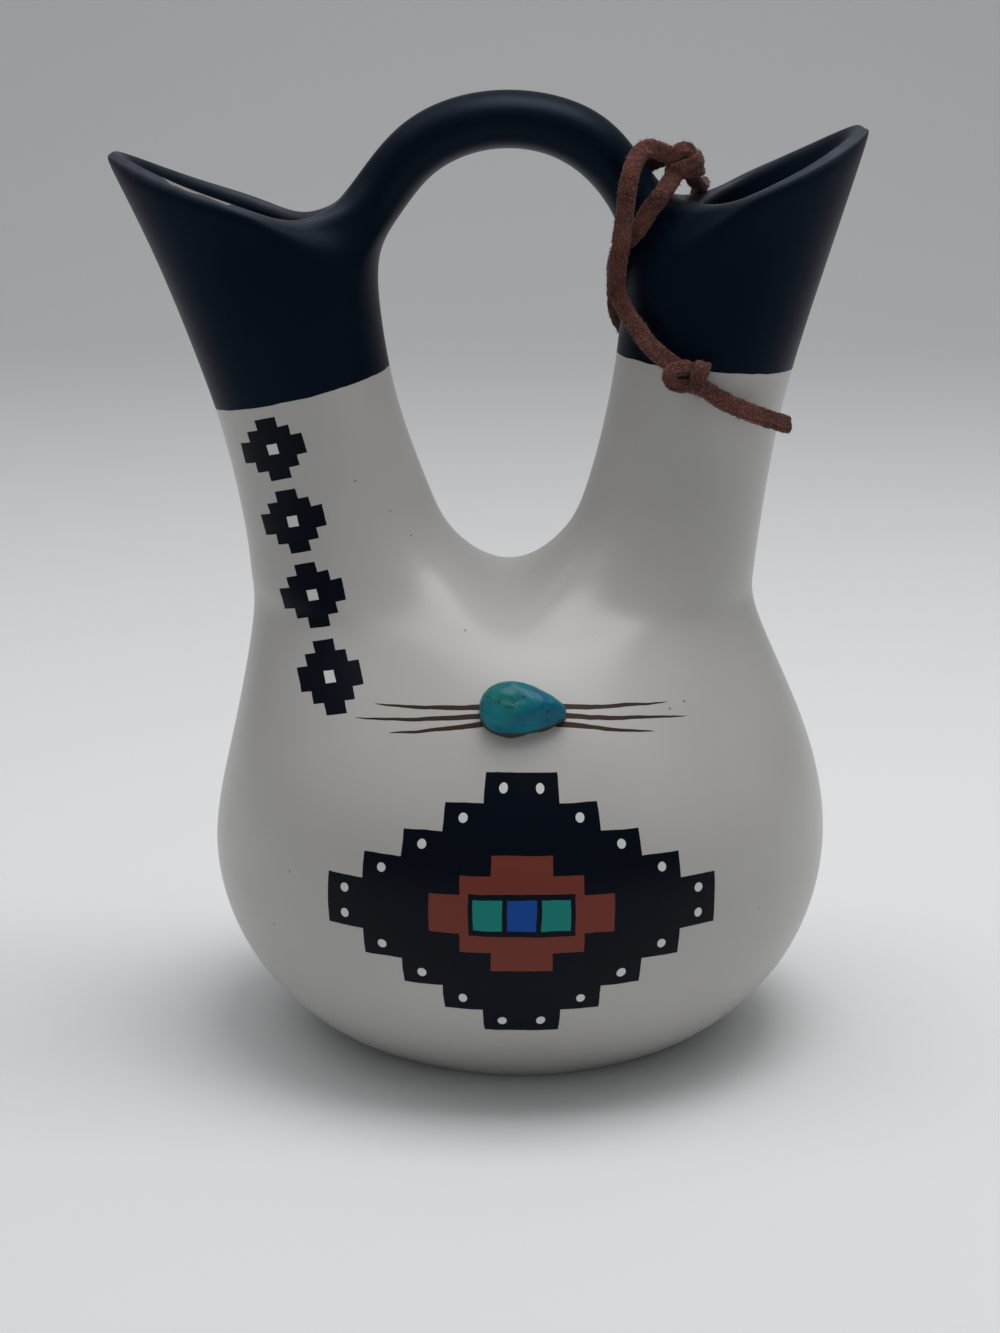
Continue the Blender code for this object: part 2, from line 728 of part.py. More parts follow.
def main():
    remove_all()
    white = plain_material("white_slip", (0.62, 0.60, 0.57), 0.42)
    black = plain_material("black_slip", (0.010, 0.014, 0.022), 0.38)
    turquoise = plain_material("turquoise", (0.010, 0.26, 0.32), 0.25)
    cement = plain_material("cement", (0.10, 0.07, 0.05), 0.7)
    suede = plain_material("suede", (0.16, 0.065, 0.040), 0.95)
    mesh = vase_mesh()
    colours = {"bowl": white, "shoulder": white, "spout_left": black, "spout_right": black,
               "handle": black}
    for name, outline in clay_outlines().items():
        clay_piece(name, mesh, colours[name], outline)
    tree = clay_surface(mesh)
    build_stone(tree, turquoise, cement)
    build_lace(tree, suede)


main()
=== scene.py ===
"""Wedding vase with two flared spouts, an arched handle, a turquoise nugget and a knotted suede lace.

Sizes are in millimetres in the clay's frame, the origin under the middle of the foot, and become metres
where a mesh is made. The sections follow the vase as it is made: clay, paint, nugget, lace, then the table.
"""
from functools import partialmethod
from math import atan, atan2, cos, pi, radians, sin, sqrt

import bmesh
import bpy
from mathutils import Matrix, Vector, noise
from mathutils.bvhtree import BVHTree


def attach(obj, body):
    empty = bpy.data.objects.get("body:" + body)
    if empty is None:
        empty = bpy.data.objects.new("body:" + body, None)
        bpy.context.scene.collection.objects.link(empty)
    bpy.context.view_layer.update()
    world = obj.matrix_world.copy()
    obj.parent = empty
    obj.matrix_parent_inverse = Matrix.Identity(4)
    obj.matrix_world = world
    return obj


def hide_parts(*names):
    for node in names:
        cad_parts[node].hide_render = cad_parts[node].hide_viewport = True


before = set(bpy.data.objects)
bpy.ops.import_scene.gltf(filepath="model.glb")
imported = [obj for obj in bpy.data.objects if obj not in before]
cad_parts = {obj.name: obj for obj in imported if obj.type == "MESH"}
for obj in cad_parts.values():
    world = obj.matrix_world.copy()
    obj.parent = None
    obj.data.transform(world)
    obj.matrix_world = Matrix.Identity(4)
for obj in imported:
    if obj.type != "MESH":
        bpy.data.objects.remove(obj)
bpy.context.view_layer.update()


# The view
# The vase is seen from the front, a little left of its middle and from above its lips, so that the near
# rims cross the far ones and the top of the nugget shows.

MM = 0.001
VIEW_PLACE = Vector((-4.36, -627.2, 240.0))
VIEW_DIP = 14.365
VIEW_LENS = 80.18
VIEW_SENSOR = 36.0


def link(name, data, *materials):
    """Puts a mesh, lamp or camera into the scene as an object."""
    obj = bpy.data.objects.new(name, data)
    bpy.context.collection.objects.link(obj)
    for material in materials:
        data.materials.append(material)
    return obj


camera_data = bpy.data.cameras.new("view")
camera_data.sensor_width = VIEW_SENSOR
camera_data.lens = VIEW_LENS
camera = link("view", camera_data)
camera.location = VIEW_PLACE * MM
camera.rotation_euler = (radians(90.0 - VIEW_DIP), 0.0, 0.0)
bpy.context.scene.camera = camera
bpy.context.scene.view_settings.view_transform = "Standard"


# Clay
# Thrown and hand-built earthenware in one wall: a round bowl drawn up into two leaning necks, whose lips
# are pinched into spouts and run on into the arched handle. The clay is one smooth surface through a few
# rings of points, the rings that the potter's hands pass.

FOOT_RADIUS = 39.8
BELLY_RADIUS = 66.6
BELLY_HEIGHT = 42.0
SHOULDER_HEIGHT = 90.0
SADDLE_HEIGHT = 101.2
SADDLE_X = -2.5
LOWER_RING_ANGLES = (67.5, 45.0, 22.5)
WALL = 4.8
FLOOR = 6.5
NECK_START = 14.0
COLLAR_SHELF = 0.4
COLLAR_LOWERING = 0.25
SADDLE_SHELF = 0.8
CREST_SIDE = 0.56
CREST_DROP = 0.2
NECK_WAIST_HEIGHT = 135.0
MOUTH_DEPTH = 20.0
SPOUT_PINCH = 0.35
LIP_THICKNESS = 3.8
LIP_BAND = 4.0
CREST_INSIDE = 0.1
BAND_INSIDE = 0.3
TIP_LEAN = 0.95
OVERALL_HEIGHT = 203.2
HANDLE_THICKNESS = 12.1
HANDLE_WIDTH = 15.0
HANDLE_SPRING_HEIGHT = 166.0
HANDLE_SEAT_HEIGHT = 169.0
HANDLE_ANGLES = (-62.0, -38.0, -13.0, 13.0, 38.0, 62.0)
ROOT_DEPTH = 6.0
ROOT_THICKNESS = 4.0
ROOT_TILT = 0.4
BODY_SIDES = 12
NECK_SIDES = 10
OUTERMOST = 3
HANDLE_SIDES = 8
CLAY_DETAIL = 4
FOOT_EDGE = 0.7
FOOT_RING = 5.0
FOOT_SLOPE = 2.5
FOOT_HOLLOW = 0.6
SETTLING_ROUNDS = 60
CUT_WELD = 1e-7
CUT_NEAR = 1e-6


class Neck:
    """One neck with its spout, from the shoulder to the lip."""

    def __init__(self, name, side, **sizes):
        self.name = name
        self.side = side
        self.__dict__.update(sizes)

    def axis(self, height):
        return SADDLE_X + self.side * (self.spread + self.lean * (height - SADDLE_HEIGHT))

    def radius_at(self, height, share=1.0):
        return self.radius + share * self.flare * (height - NECK_WAIST_HEIGHT) ** 2

    def outer_at(self, height):
        return self.radius_at(height, 0.5 if height < NECK_WAIST_HEIGHT else 1.0)

    def paint_line(self, x):
        """Height of the edge between white and black slip."""
        return self.paint_height + self.paint_slope * (x - self.axis(self.paint_height))


LEFT = Neck("left", -1, waist=57.9, waist_height=92.0, fullness=1.0, spread=33.9, lean=0.25, radius=18.9,
            flare=0.0042, tip=85.7, tip_height=190.0, lip_height=176.2, mouth_end=42.0, handle_set=4.4,
            lip_sweep=1.25, far_lift=-1.15, paint_height=141.3, paint_slope=0.239)
RIGHT = Neck("right", 1, waist=50.3, waist_height=100.0, fullness=1.25, spread=33.0, lean=0.185, radius=18.2,
             flare=0.0031, tip=71.7, tip_height=195.2, lip_height=179.8, mouth_end=37.0, handle_set=6.7,
             lip_sweep=1.15, far_lift=1.1, paint_height=147.0, paint_slope=-0.085)


def smoothstep(t):
    return t * t * (3.0 - 2.0 * t)


def belly_drop():
    """Depth below the belly line at which the lower body's ellipse would close."""
    return BELLY_HEIGHT / sqrt(1.0 - (FOOT_RADIUS / BELLY_RADIUS) ** 2)


def belly_radius(height):
    return BELLY_RADIUS * sqrt(max(1.0 - ((height - BELLY_HEIGHT) / belly_drop()) ** 2, 0.0))


def body_side(neck, height):
    """Half width of the body under one neck: round to the belly line, then drawn in to the neck's waist."""
    if height <= BELLY_HEIGHT:
        return belly_radius(height)
    t = min((height - BELLY_HEIGHT) / (neck.waist_height - BELLY_HEIGHT), 1.0)
    return BELLY_RADIUS + (neck.waist - BELLY_RADIUS) * smoothstep(t ** neck.fullness)


def body_depth(height):
    """Half depth of the body, front to back: it domes over to the saddle between the necks."""
    if height <= BELLY_HEIGHT:
        return belly_radius(height)
    rise = SADDLE_HEIGHT - BELLY_HEIGHT
    return BELLY_RADIUS * sqrt(max(1.0 - ((height - BELLY_HEIGHT) / rise) ** 2, 0.0))


def body_ring(height, inset=0.0):
    """Points of one level ring of the body, from the front round by the right."""
    share = max(height - BELLY_HEIGHT, 0.0) / (SADDLE_HEIGHT - BELLY_HEIGHT)
    middle = SADDLE_X * share
    depth = body_depth(height + inset if height > BELLY_HEIGHT else height) - inset
    points = []
    for k in range(BODY_SIDES):
        angle = 2.0 * pi * k / BODY_SIDES - pi / 2.0
        neck = RIGHT if cos(angle) > 0.0 else LEFT
        half = body_side(neck, height) - neck.side * middle - inset
        points.append(Vector((middle + half * cos(angle), depth * sin(angle), height)))
    return points


def even_heights(low, high, count):
    return [low + (high - low) * i / count for i in range(count + 1)]


def neck_levels(top, count, tilt, seat):
    """Height, tilt and widening of each neck ring: only the last one is turned for the handle's root."""
    heights = even_heights(SADDLE_HEIGHT + NECK_START, top, count)
    return [(height, 1.0, 0.0) for height in heights[:-1]] + [(heights[-1], tilt, seat)]


def neck_angles():
    step = 2.0 * pi / NECK_SIDES
    return [step * (j - OUTERMOST) for j in range(NECK_SIDES)]


def neck_ring(neck, height, tilt, inset=0.0, seat=0.0):
    """Points of one ring round the neck's axis, square to it when tilt is 1."""
    turn = atan(neck.lean) * tilt
    outer = neck.outer_at(height) - inset
    inner = neck.radius_at(height) - inset - seat
    depth = neck.radius_at(min(height, NECK_WAIST_HEIGHT)) - inset
    points = []
    for angle in neck_angles():
        out = (outer if cos(angle) > 0.0 else inner) * cos(angle)
        points.append(Vector((neck.axis(height) + neck.side * out * cos(turn),
                              neck.side * depth * sin(angle),
                              height - out * sin(turn))))
    return points


def collar_ring(neck, lower, upper, inset):
    """Ring between the shoulder and a neck: low in front and behind, drawn in to the waist at the side."""
    side = (lower[OUTERMOST] + upper[OUTERMOST]) / 2.0
    waist = neck.side * (body_side(neck, side.z) - inset)
    points = []
    for below, above, angle in zip(lower, upper, neck_angles()):
        shelf = abs(sin(angle)) if cos(angle) > 0.0 else max(abs(sin(angle)), SADDLE_SHELF)
        inward = (1.0 + COLLAR_SHELF * shelf) / 2.0
        upward = (1.0 - COLLAR_LOWERING * shelf) / 2.0
        drawn = (waist - side.x) * max(cos(angle), 0.0)
        points.append(Vector((below.x + (above.x - below.x) * inward + drawn,
                              below.y + (above.y - below.y) * inward,
                              below.z + (above.z - below.z) * upward)))
    return points


def lip_ring(neck):
    """Crest of the lip: pinched to a point at the spout's tip and lowest near the handle."""
    half = (neck.tip - neck.mouth_end) / 2.0
    points = []
    for angle in neck_angles():
        reach = (1.0 + cos(angle)) / 2.0
        y = neck.side * MOUTH_DEPTH * sin(angle) * (1.0 - SPOUT_PINCH * reach)
        height = neck.lip_height + (neck.tip_height - neck.lip_height) * reach ** neck.lip_sweep
        points.append(Vector((neck.side * (neck.mouth_end + half + half * cos(angle)), y,
                              height + neck.far_lift * y / (2.0 * MOUTH_DEPTH))))
    return points


def below_lip(lip, under, offset):
    """Ring a band's width below the lip, set out from the wall's middle by an offset."""
    centre = sum(lip, Vector()) / len(lip)
    points = []
    for crest, foot, angle in zip(lip, under, neck_angles()):
        down = (foot - crest).normalized()
        out = crest - centre
        out.z = 0.0
        lean = TIP_LEAN * max(cos(angle), 0.0) ** 4
        points.append(crest + down * LIP_BAND + out.normalized() * (offset - lean))
    return points


def made_mesh(bm, name, smooth=True):
    mesh = bpy.data.meshes.new(name)
    bm.to_mesh(mesh)
    bm.free()
    if smooth:
        mesh.shade_smooth()
    return mesh


class Cage:
    """Rings of points joined by four-sided faces; each point knows how far inside the vase it is."""

    def __init__(self):
        self.points = []
        self.inside = []
        self.faces = []

    def ring(self, points, inside=0.0):
        start = len(self.points)
        self.points += [Vector(p) for p in points]
        self.inside += [inside] * len(points)
        return list(range(start, len(self.points)))

    def band(self, lower, upper, skip=()):
        count = len(lower)
        for i in range(count):
            if i not in skip:
                j = (i + 1) % count
                self.faces.append((lower[i], lower[j], upper[j], upper[i]))

    def disc(self, ring, centre, inside):
        middle = self.ring([centre], inside)[0]
        count = len(ring)
        for i in range(0, count, 2):
            self.faces.append((middle, ring[i], ring[i + 1], ring[(i + 2) % count]))

    def drop_unused_points(self):
        used = sorted({i for face in self.faces for i in face})
        order = {old: new for new, old in enumerate(used)}
        self.points = [self.points[i] for i in used]
        self.inside = [self.inside[i] for i in used]
        self.faces = [tuple(order[i] for i in face) for face in self.faces]

    def pass_through_points(self):
        """Push the cage out until the smooth surface inside it passes through the given points."""
        count = len(self.points)
        edges = [set() for _ in range(count)]
        corners = [[] for _ in range(count)]
        for face in self.faces:
            for i, v in enumerate(face):
                edges[v] |= {face[i - 1], face[(i + 1) % 4]}
                corners[v].append(face[(i + 2) % 4])
        targets = [p.copy() for p in self.points]
        for _ in range(SETTLING_ROUNDS):
            moves = []
            for v in range(count):
                n = len(corners[v])
                near = sum((self.points[e] for e in edges[v]), Vector())
                far = sum((self.points[c] for c in corners[v]), Vector())
                smooth = (self.points[v] * n * n + near * 4.0 + far) / (n * n + 5.0 * n)
                moves.append(targets[v] - smooth)
            for v in range(count):
                self.points[v] += moves[v]

    def mesh(self, name):
        bm = bmesh.new()
        depth = bm.verts.layers.float.new("inside")
        verts = [bm.verts.new(p * MM) for p in self.points]
        for vert, inside in zip(verts, self.inside):
            vert[depth] = inside
        for face in self.faces:
            bm.faces.new([verts[i] for i in face])
        bmesh.ops.recalc_face_normals(bm, faces=bm.faces)
        return made_mesh(bm, name)


def body_with_necks(cage, heights, levels, inset, saddle, floor, inside):
    """Body rings parted at the saddle into two legs of neck rings."""
    rings = [cage.ring(body_ring(h, inset), inside) for h in heights]
    cage.disc(rings[0], Vector((0.0, 0.0, floor)), inside)
    for lower, upper in zip(rings, rings[1:]):
        cage.band(lower, upper)
    side = body_ring(heights[-1], inset)[0].y * CREST_SIDE
    low = saddle - (saddle - heights[-1]) * CREST_DROP
    across = [(SADDLE_X, side, low), (SADDLE_X, 0.0, saddle), (SADDLE_X, -side, low)]
    crest = cage.ring(across, inside)
    half = BODY_SIDES // 2
    top = rings[-1] + rings[-1][:1]
    legs = {"right": top[:half + 1] + crest[::-1], "left": top[half:] + crest}
    ends = {}
    for neck in (LEFT, RIGHT):
        first = neck_ring(neck, *levels[0][:2], inset)
        last = cage.ring(collar_ring(neck, [cage.points[i] for i in legs[neck.name]], first, inset), inside)
        cage.band(legs[neck.name], last)
        for height, tilt, seat in levels:
            following = cage.ring(neck_ring(neck, height, tilt, inset, seat), inside)
            cage.band(last, following)
            last = following
        ends[neck.name] = last
    return ends


def handle_root(neck):
    """Innermost point of a neck at the height where the handle grows out of it."""
    return neck_ring(neck, HANDLE_SEAT_HEIGHT, 0.0)[NECK_SIDES - 2]


def handle_ring(angle):
    """Points round the handle at an angle from its crown, from the front of its underside."""
    neck = LEFT if angle < 0.0 else RIGHT
    width = abs(handle_root(neck).x - SADDLE_X) + neck.handle_set
    rise = OVERALL_HEIGHT - HANDLE_THICKNESS / 2.0 - HANDLE_SPRING_HEIGHT
    point = Vector((SADDLE_X + width * sin(angle), 0.0, HANDLE_SPRING_HEIGHT + rise * cos(angle)))
    out = Vector((rise * sin(angle), 0.0, width * cos(angle))).normalized()
    points = []
    for k in range(HANDLE_SIDES):
        turn = 2.0 * pi / HANDLE_SIDES * (k - 1)
        points.append(point - out * (cos(turn) * HANDLE_THICKNESS / 2.0)
                      + Vector((0.0, sin(turn) * HANDLE_WIDTH / 2.0, 0.0)))
    return points


def clay_mesh():
    """The whole vase, outside and inside, as one closed surface."""
    cage = Cage()
    lower = [BELLY_HEIGHT - belly_drop() * sin(radians(angle)) for angle in LOWER_RING_ANGLES]
    outer_heights = lower + even_heights(BELLY_HEIGHT, SHOULDER_HEIGHT, 2)
    inner_heights = even_heights(FLOOR + WALL, SHOULDER_HEIGHT - WALL / 2.0, 3)
    outside_levels = neck_levels(HANDLE_SEAT_HEIGHT, 3, 0.0, 0.0)
    inside_levels = neck_levels(HANDLE_SEAT_HEIGHT - ROOT_DEPTH, 2, ROOT_TILT, ROOT_THICKNESS)
    underside = BELLY_HEIGHT - belly_drop()
    outer = body_with_necks(cage, outer_heights, outside_levels, 0.0, SADDLE_HEIGHT, underside, 0.0)
    inner = body_with_necks(cage, inner_heights, inside_levels, WALL, SADDLE_HEIGHT - WALL, FLOOR, 1.0)
    roots = {}
    for neck in (LEFT, RIGHT):
        lip_points = lip_ring(neck)
        under = [cage.points[i] for i in outer[neck.name]]
        within = [cage.points[i] for i in inner[neck.name]]
        lip = cage.ring(lip_points, CREST_INSIDE)
        outside = cage.ring(below_lip(lip_points, under, LIP_THICKNESS / 2.0))
        inside = cage.ring(below_lip(lip_points, within, -LIP_THICKNESS / 2.0), BAND_INSIDE)
        first = NECK_SIDES - 3
        skipped = (first, first + 1)
        cage.band(outer[neck.name], outside, skip=skipped)
        cage.band(outside, lip, skip=skipped)
        cage.band(lip, inside)
        cage.band(inside, inner[neck.name])
        low = outer[neck.name][first:]
        high = lip[first:]
        roots[neck.name] = [*low, outside[first + 2], *high[::-1], outside[first]]
    last = roots["left"]
    for angle in HANDLE_ANGLES:
        following = cage.ring(handle_ring(radians(angle)))
        cage.band(last, following)
        last = following
    right = roots["right"]
    cage.band(last, right[2::-1] + right[:2:-1])
    cage.drop_unused_points()
    cage.pass_through_points()
    return cage.mesh("clay")


def baked(obj):
    """The object's mesh with its modifiers applied; the object itself is taken away."""
    graph = bpy.context.evaluated_depsgraph_get()
    mesh = bpy.data.meshes.new_from_object(obj.evaluated_get(graph), depsgraph=graph)
    name = obj.name
    bpy.data.objects.remove(obj, do_unlink=True)
    mesh.name = name
    return mesh


clay_object = link("clay", clay_mesh())
smoothing = clay_object.modifiers.new("smooth", "SUBSURF")
smoothing.levels = smoothing.render_levels = CLAY_DETAIL
clay = baked(clay_object)
clay_bm = bmesh.new()
clay_bm.from_mesh(clay)
clay_tree = BVHTree.FromBMesh(clay_bm)
clay_bm.free()


def neck_of(x):
    return LEFT if x < SADDLE_X else RIGHT


def above_paint(point):
    """Height of a point over its neck's paint line, in millimetres."""
    x = point.x / MM
    return point.z / MM - neck_of(x).paint_line(x)


def stand_flat(bm):
    """Cuts the bowl level for its foot, hollows the underside a little and leaves it bare."""
    depth = bm.verts.layers.float["inside"]
    bmesh.ops.bisect_plane(bm, geom=[*bm.verts, *bm.edges, *bm.faces], dist=CUT_WELD,
                           plane_co=(0.0, 0.0, 0.0), plane_no=(0.0, 0.0, 1.0), clear_inner=True)
    rim = [e for e in bm.edges if e.is_boundary and abs(e.verts[0].co.z) < CUT_NEAR]
    sole = bmesh.ops.contextual_create(bm, geom=rim)["faces"]
    for edge in rim:
        edge.smooth = False
    for thickness, rise in ((FOOT_EDGE, 0.0), (FOOT_RING, 0.0), (FOOT_SLOPE, -FOOT_HOLLOW)):
        bmesh.ops.inset_region(bm, faces=sole, thickness=thickness * MM, depth=rise * MM)
        for vert in sole[0].verts:
            vert[depth] = 1.0
    bmesh.ops.poke(bm, faces=sole)


def clay_part(name, keep_above):
    """The clay above or below the two paint lines, closed across the wall."""
    bm = bmesh.new()
    bm.from_mesh(clay)
    for neck in (LEFT, RIGHT):
        near = [f for f in bm.faces if neck_of(f.calc_center_median().x / MM) is neck
                and abs(above_paint(f.calc_center_median())) < WALL]
        geometry = list(dict.fromkeys(g for f in near for g in (f, *f.edges, *f.verts)))
        x = neck.axis(neck.paint_height)
        bmesh.ops.bisect_plane(bm, geom=geometry, dist=CUT_WELD,
                               plane_co=Vector((x, 0.0, neck.paint_line(x))) * MM,
                               plane_no=Vector((-neck.paint_slope, 0.0, 1.0)))
    lost = [f for f in bm.faces if (above_paint(f.calc_center_median()) > 0.0) != keep_above]
    bmesh.ops.delete(bm, geom=lost, context="FACES")
    if not keep_above:
        stand_flat(bm)
    open_edges = [e for e in bm.edges if e.is_boundary]
    grown = bmesh.ops.triangle_fill(bm, edges=open_edges, use_beauty=True)["geom"]
    for face in [g for g in grown if isinstance(g, bmesh.types.BMFace)]:
        face.smooth = False
    for edge in open_edges:
        edge.smooth = False
    bmesh.ops.recalc_face_normals(bm, faces=bm.faces)
    return made_mesh(bm, name, smooth=False)


# Paint
# White slip over the body with a painted front: a stepped black lozenge under the nugget, with a brick-red
# heart, a row of tiles and a white dot in each outer step, brown strokes beside the nugget and a column of
# small lozenges on the left neck. All of it is brushed on by hand, so its edges waver a little.

BLACK_SLIP = (0.0009, 0.0032, 0.0092, 1.0)
WHITE_SLIP = (0.53, 0.517, 0.497, 1.0)
WHITE_SLIP_THIN = (0.475, 0.46, 0.435, 1.0)
WHITE_PAINT = (0.72, 0.72, 0.70, 1.0)
SPECK = (0.10, 0.075, 0.055, 1.0)
BARE_CLAY = (0.36, 0.30, 0.235, 1.0)
BLACK_PAINT = (0.0012, 0.0034, 0.0088, 1.0)
BRICK_PAINT = (0.20, 0.045, 0.032, 1.0)
TILE_GREEN = (0.012, 0.25, 0.22, 1.0)
TILE_BLUE = (0.008, 0.075, 0.36, 1.0)
BROWN_LINE = (0.045, 0.026, 0.018, 1.0)
LOZENGE_HEIGHT = 45.0
LOZENGE_STEP = (8.4, 5.4)
LOZENGE_STEPS = 5
HEART_STEP = (6.3, 4.0)
HEART_STEPS = 3
TILE_SIZE = 6.4
TILE_GAP = 0.5
TILE_BORDER = 2.4
DOT_RADIUS = 0.95
STROKE_FROM = 5.0
STROKES = ((25.0, 82.9, 0.035), (29.0, 81.6, 0.085), (22.0, 80.4, 0.14))
STROKE_HALF_WIDTH = 0.5
COLUMN_TOP = Vector((-51.6, 130.5))
COLUMN_FOOT = Vector((-39.6, 85.5))
COLUMN_COUNT = 4
COLUMN_STEP = (2.3, 2.2)
COLUMN_STEPS = 3
BRUSH_GRAIN = 170.0
BRUSH_WAVER = 0.55
DIP_GRAIN = 75.0
DIP_WAVER = 0.9
SLIP_CLOUDS = 28.0
SLIP_STROKES = 60.0
STROKE_STRETCH = (0.5, 0.5, 1.7)
SLIP_GRAIN = 1500.0
SPECK_SPACING = 150.0
SPECK_RADIUS = 0.045
SPECK_CLUSTERS = 60.0
SPECK_STRENGTH = 0.7
WHITE_RUB = (0.28, 0.33)
SLIP_GLOSS = 0.42
PAINT_GLOSS = 0.10
PAINT_THICKNESS = 0.06


class Output:
    """One output of a node: sums and comparisons on it add the nodes that work them out."""

    def __init__(self, nodes, socket):
        self.nodes = nodes
        self.socket = socket

    def also(self, key):
        """Another output of the same node."""
        return Output(self.nodes, self.socket.node.outputs[key])

    def span(self, low, high, to_low=0.0, to_high=1.0):
        return self.nodes.add("ShaderNodeMapRange", self, low, high, to_low, to_high)

    def math(self, operation, *values):
        return self.nodes.add("ShaderNodeMath", self, *values, operation=operation)

    def __rsub__(self, value):
        return self.nodes.add("ShaderNodeMath", value, self, operation="SUBTRACT")

    __add__ = partialmethod(math, "ADD")
    __sub__ = partialmethod(math, "SUBTRACT")
    __mul__ = partialmethod(math, "MULTIPLY")
    __truediv__ = partialmethod(math, "DIVIDE")
    __lt__ = partialmethod(math, "LESS_THAN")
    __gt__ = partialmethod(math, "GREATER_THAN")
    __abs__ = partialmethod(math, "ABSOLUTE")
    floor = partialmethod(math, "FLOOR")
    root = partialmethod(math, "SQRT")
    most = partialmethod(math, "MAXIMUM")


class Nodes:
    """A tree of nodes. In add, values feed the sockets in order and None leaves a socket alone; a name
    with a capital feeds the socket of that name, and a name without one is a setting of the node."""

    def __init__(self, tree):
        self.tree = tree

    def feed(self, socket, value):
        if isinstance(value, Output):
            self.tree.links.new(value.socket, socket)
        elif value is not None:
            socket.default_value = value

    def add(self, kind, *values, **named):
        node = self.tree.nodes.new(kind)
        for key, value in named.items():
            if key[0].islower():
                setattr(node, key, value)
        for key, value in named.items():
            if key[0].isupper():
                self.feed(node.inputs[key.replace("_", " ")], value)
        for socket, value in zip(node.inputs, values):
            self.feed(socket, value)
        return Output(self, node.outputs[0])


class Finish(Nodes):
    """The nodes of one finish, laid out by the place on the piece."""

    def __init__(self, name):
        self.material = bpy.data.materials.new(name)
        self.material.use_nodes = True
        super().__init__(self.material.node_tree)
        self.place = self.add("ShaderNodeTexCoord").also("Object")

    def set(self, **values):
        """Feeds the shader's own sockets and gives back the finished material."""
        for key, value in values.items():
            self.feed(self.tree.nodes["Principled BSDF"].inputs[key.replace("_", " ")], value)
        return self.material

    def spread(self):
        """The place on the piece as right, back and up, in millimetres."""
        parts = self.add("ShaderNodeSeparateXYZ", self.place)
        return [parts.also(axis) * (1.0 / MM) for axis in "XYZ"]

    def noise(self, scale, detail=4.0, roughness=0.5, stretch=(1.0, 1.0, 1.0)):
        """Noise from 0 to 1, its scale in grains a metre."""
        place = self.add("ShaderNodeMapping", Vector=self.place, Scale=stretch)
        return self.add("ShaderNodeTexNoise", Vector=place, Scale=scale, Detail=detail, Roughness=roughness)

    def mix(self, share, first, second):
        return self.add("ShaderNodeMix", share, *[None] * 5, first, second, data_type="RGBA").also(2)

    def bump(self, height, depth, strength, under=None):
        """Normals for a height that swings by a depth in millimetres, over those of the skin under it."""
        return self.add("ShaderNodeBump", Height=height, Distance=depth * MM, Strength=strength, Normal=under)


def stepped_lozenge(across, up, step, steps):
    """1 inside a lozenge with stepped sides, round the place where both distances are zero."""
    return (abs(across) / step[0]).floor() + (abs(up) / step[1]).floor() < steps - 0.5


def step_dots(across, up, step, steps):
    """1 inside a dot at the middle of each outermost step."""
    cells = [abs(value) / size for value, size in zip((across, up), step)]
    outer = (cells[0].floor() + cells[1].floor()).math("COMPARE", steps - 1.0, 0.25)
    offsets = [abs((cell.math("FRACT") - 0.5) * size) for cell, size in zip(cells, step)]
    radius = (offsets[0].math("POWER", 2.0) + offsets[1].math("POWER", 2.0)).root()
    return outer * (radius < DOT_RADIUS)


def inside_box(across, up, width, height):
    return (abs(across) < width / 2.0) * (abs(up) < height / 2.0)


def painted_front(finish, colour):
    """Lays the painted design over a colour, and gives back the colour and where paint lies."""
    x, y, z = finish.spread()
    waver = (finish.noise(BRUSH_GRAIN, 2.0) - 0.5) * BRUSH_WAVER
    x = x + waver
    z = z + waver
    front = y < 0.0
    round_body = x.math("ARCTAN2", y * -1.0) * BELLY_RADIUS
    up = z - LOZENGE_HEIGHT
    tiles = inside_box(round_body, up, TILE_SIZE * 3.0 + TILE_BORDER, TILE_SIZE + TILE_BORDER)
    lozenge = (round_body, up, LOZENGE_STEP, LOZENGE_STEPS)
    layers = [(stepped_lozenge(*lozenge), BLACK_PAINT), (step_dots(*lozenge), WHITE_PAINT),
              (stepped_lozenge(round_body, up, HEART_STEP, HEART_STEPS), BRICK_PAINT),
              (tiles, BLACK_PAINT)]
    for k, paint in ((-1, TILE_GREEN), (0, TILE_BLUE), (1, TILE_GREEN)):
        tile = round_body - k * (TILE_SIZE + TILE_GAP)
        layers.append((inside_box(tile, up, TILE_SIZE - TILE_GAP, TILE_SIZE), paint))
    out = abs(x) - STROKE_FROM
    for length, height, fall in STROKES:
        taper = (1.0 - out / length).most(0.0).root()
        line = abs(z - (height - out * fall)) < taper * STROKE_HALF_WIDTH
        layers.append((line * (out > 0.0) * front, BROWN_LINE))
    slant = COLUMN_TOP - COLUMN_FOOT
    turn = atan2(slant.x, slant.y)
    for k in range(COLUMN_COUNT):
        centre = COLUMN_FOOT.lerp(COLUMN_TOP, k / (COLUMN_COUNT - 1))
        dx = x - centre.x
        dz = z - centre.y
        across = dx * cos(turn) - dz * sin(turn)
        along = dx * sin(turn) + dz * cos(turn)
        layers.append((front * stepped_lozenge(across, along, COLUMN_STEP, COLUMN_STEPS), BLACK_PAINT))
        layers.append((front * inside_box(across, along, *COLUMN_STEP), WHITE_PAINT))
    over_left, over_right = (z - neck.paint_line(0.0) - x * neck.paint_slope for neck in (LEFT, RIGHT))
    on_right = x > SADDLE_X
    over = over_left * (1.0 - on_right) + over_right * on_right
    dip = (finish.noise(DIP_GRAIN, 3.0) - 0.75) * DIP_WAVER
    layers.append((over > dip, BLACK_SLIP))
    painted = None
    for mask, paint in layers:
        colour = finish.mix(mask, colour, paint)
        painted = mask if painted is None else painted.most(mask)
    return colour, painted


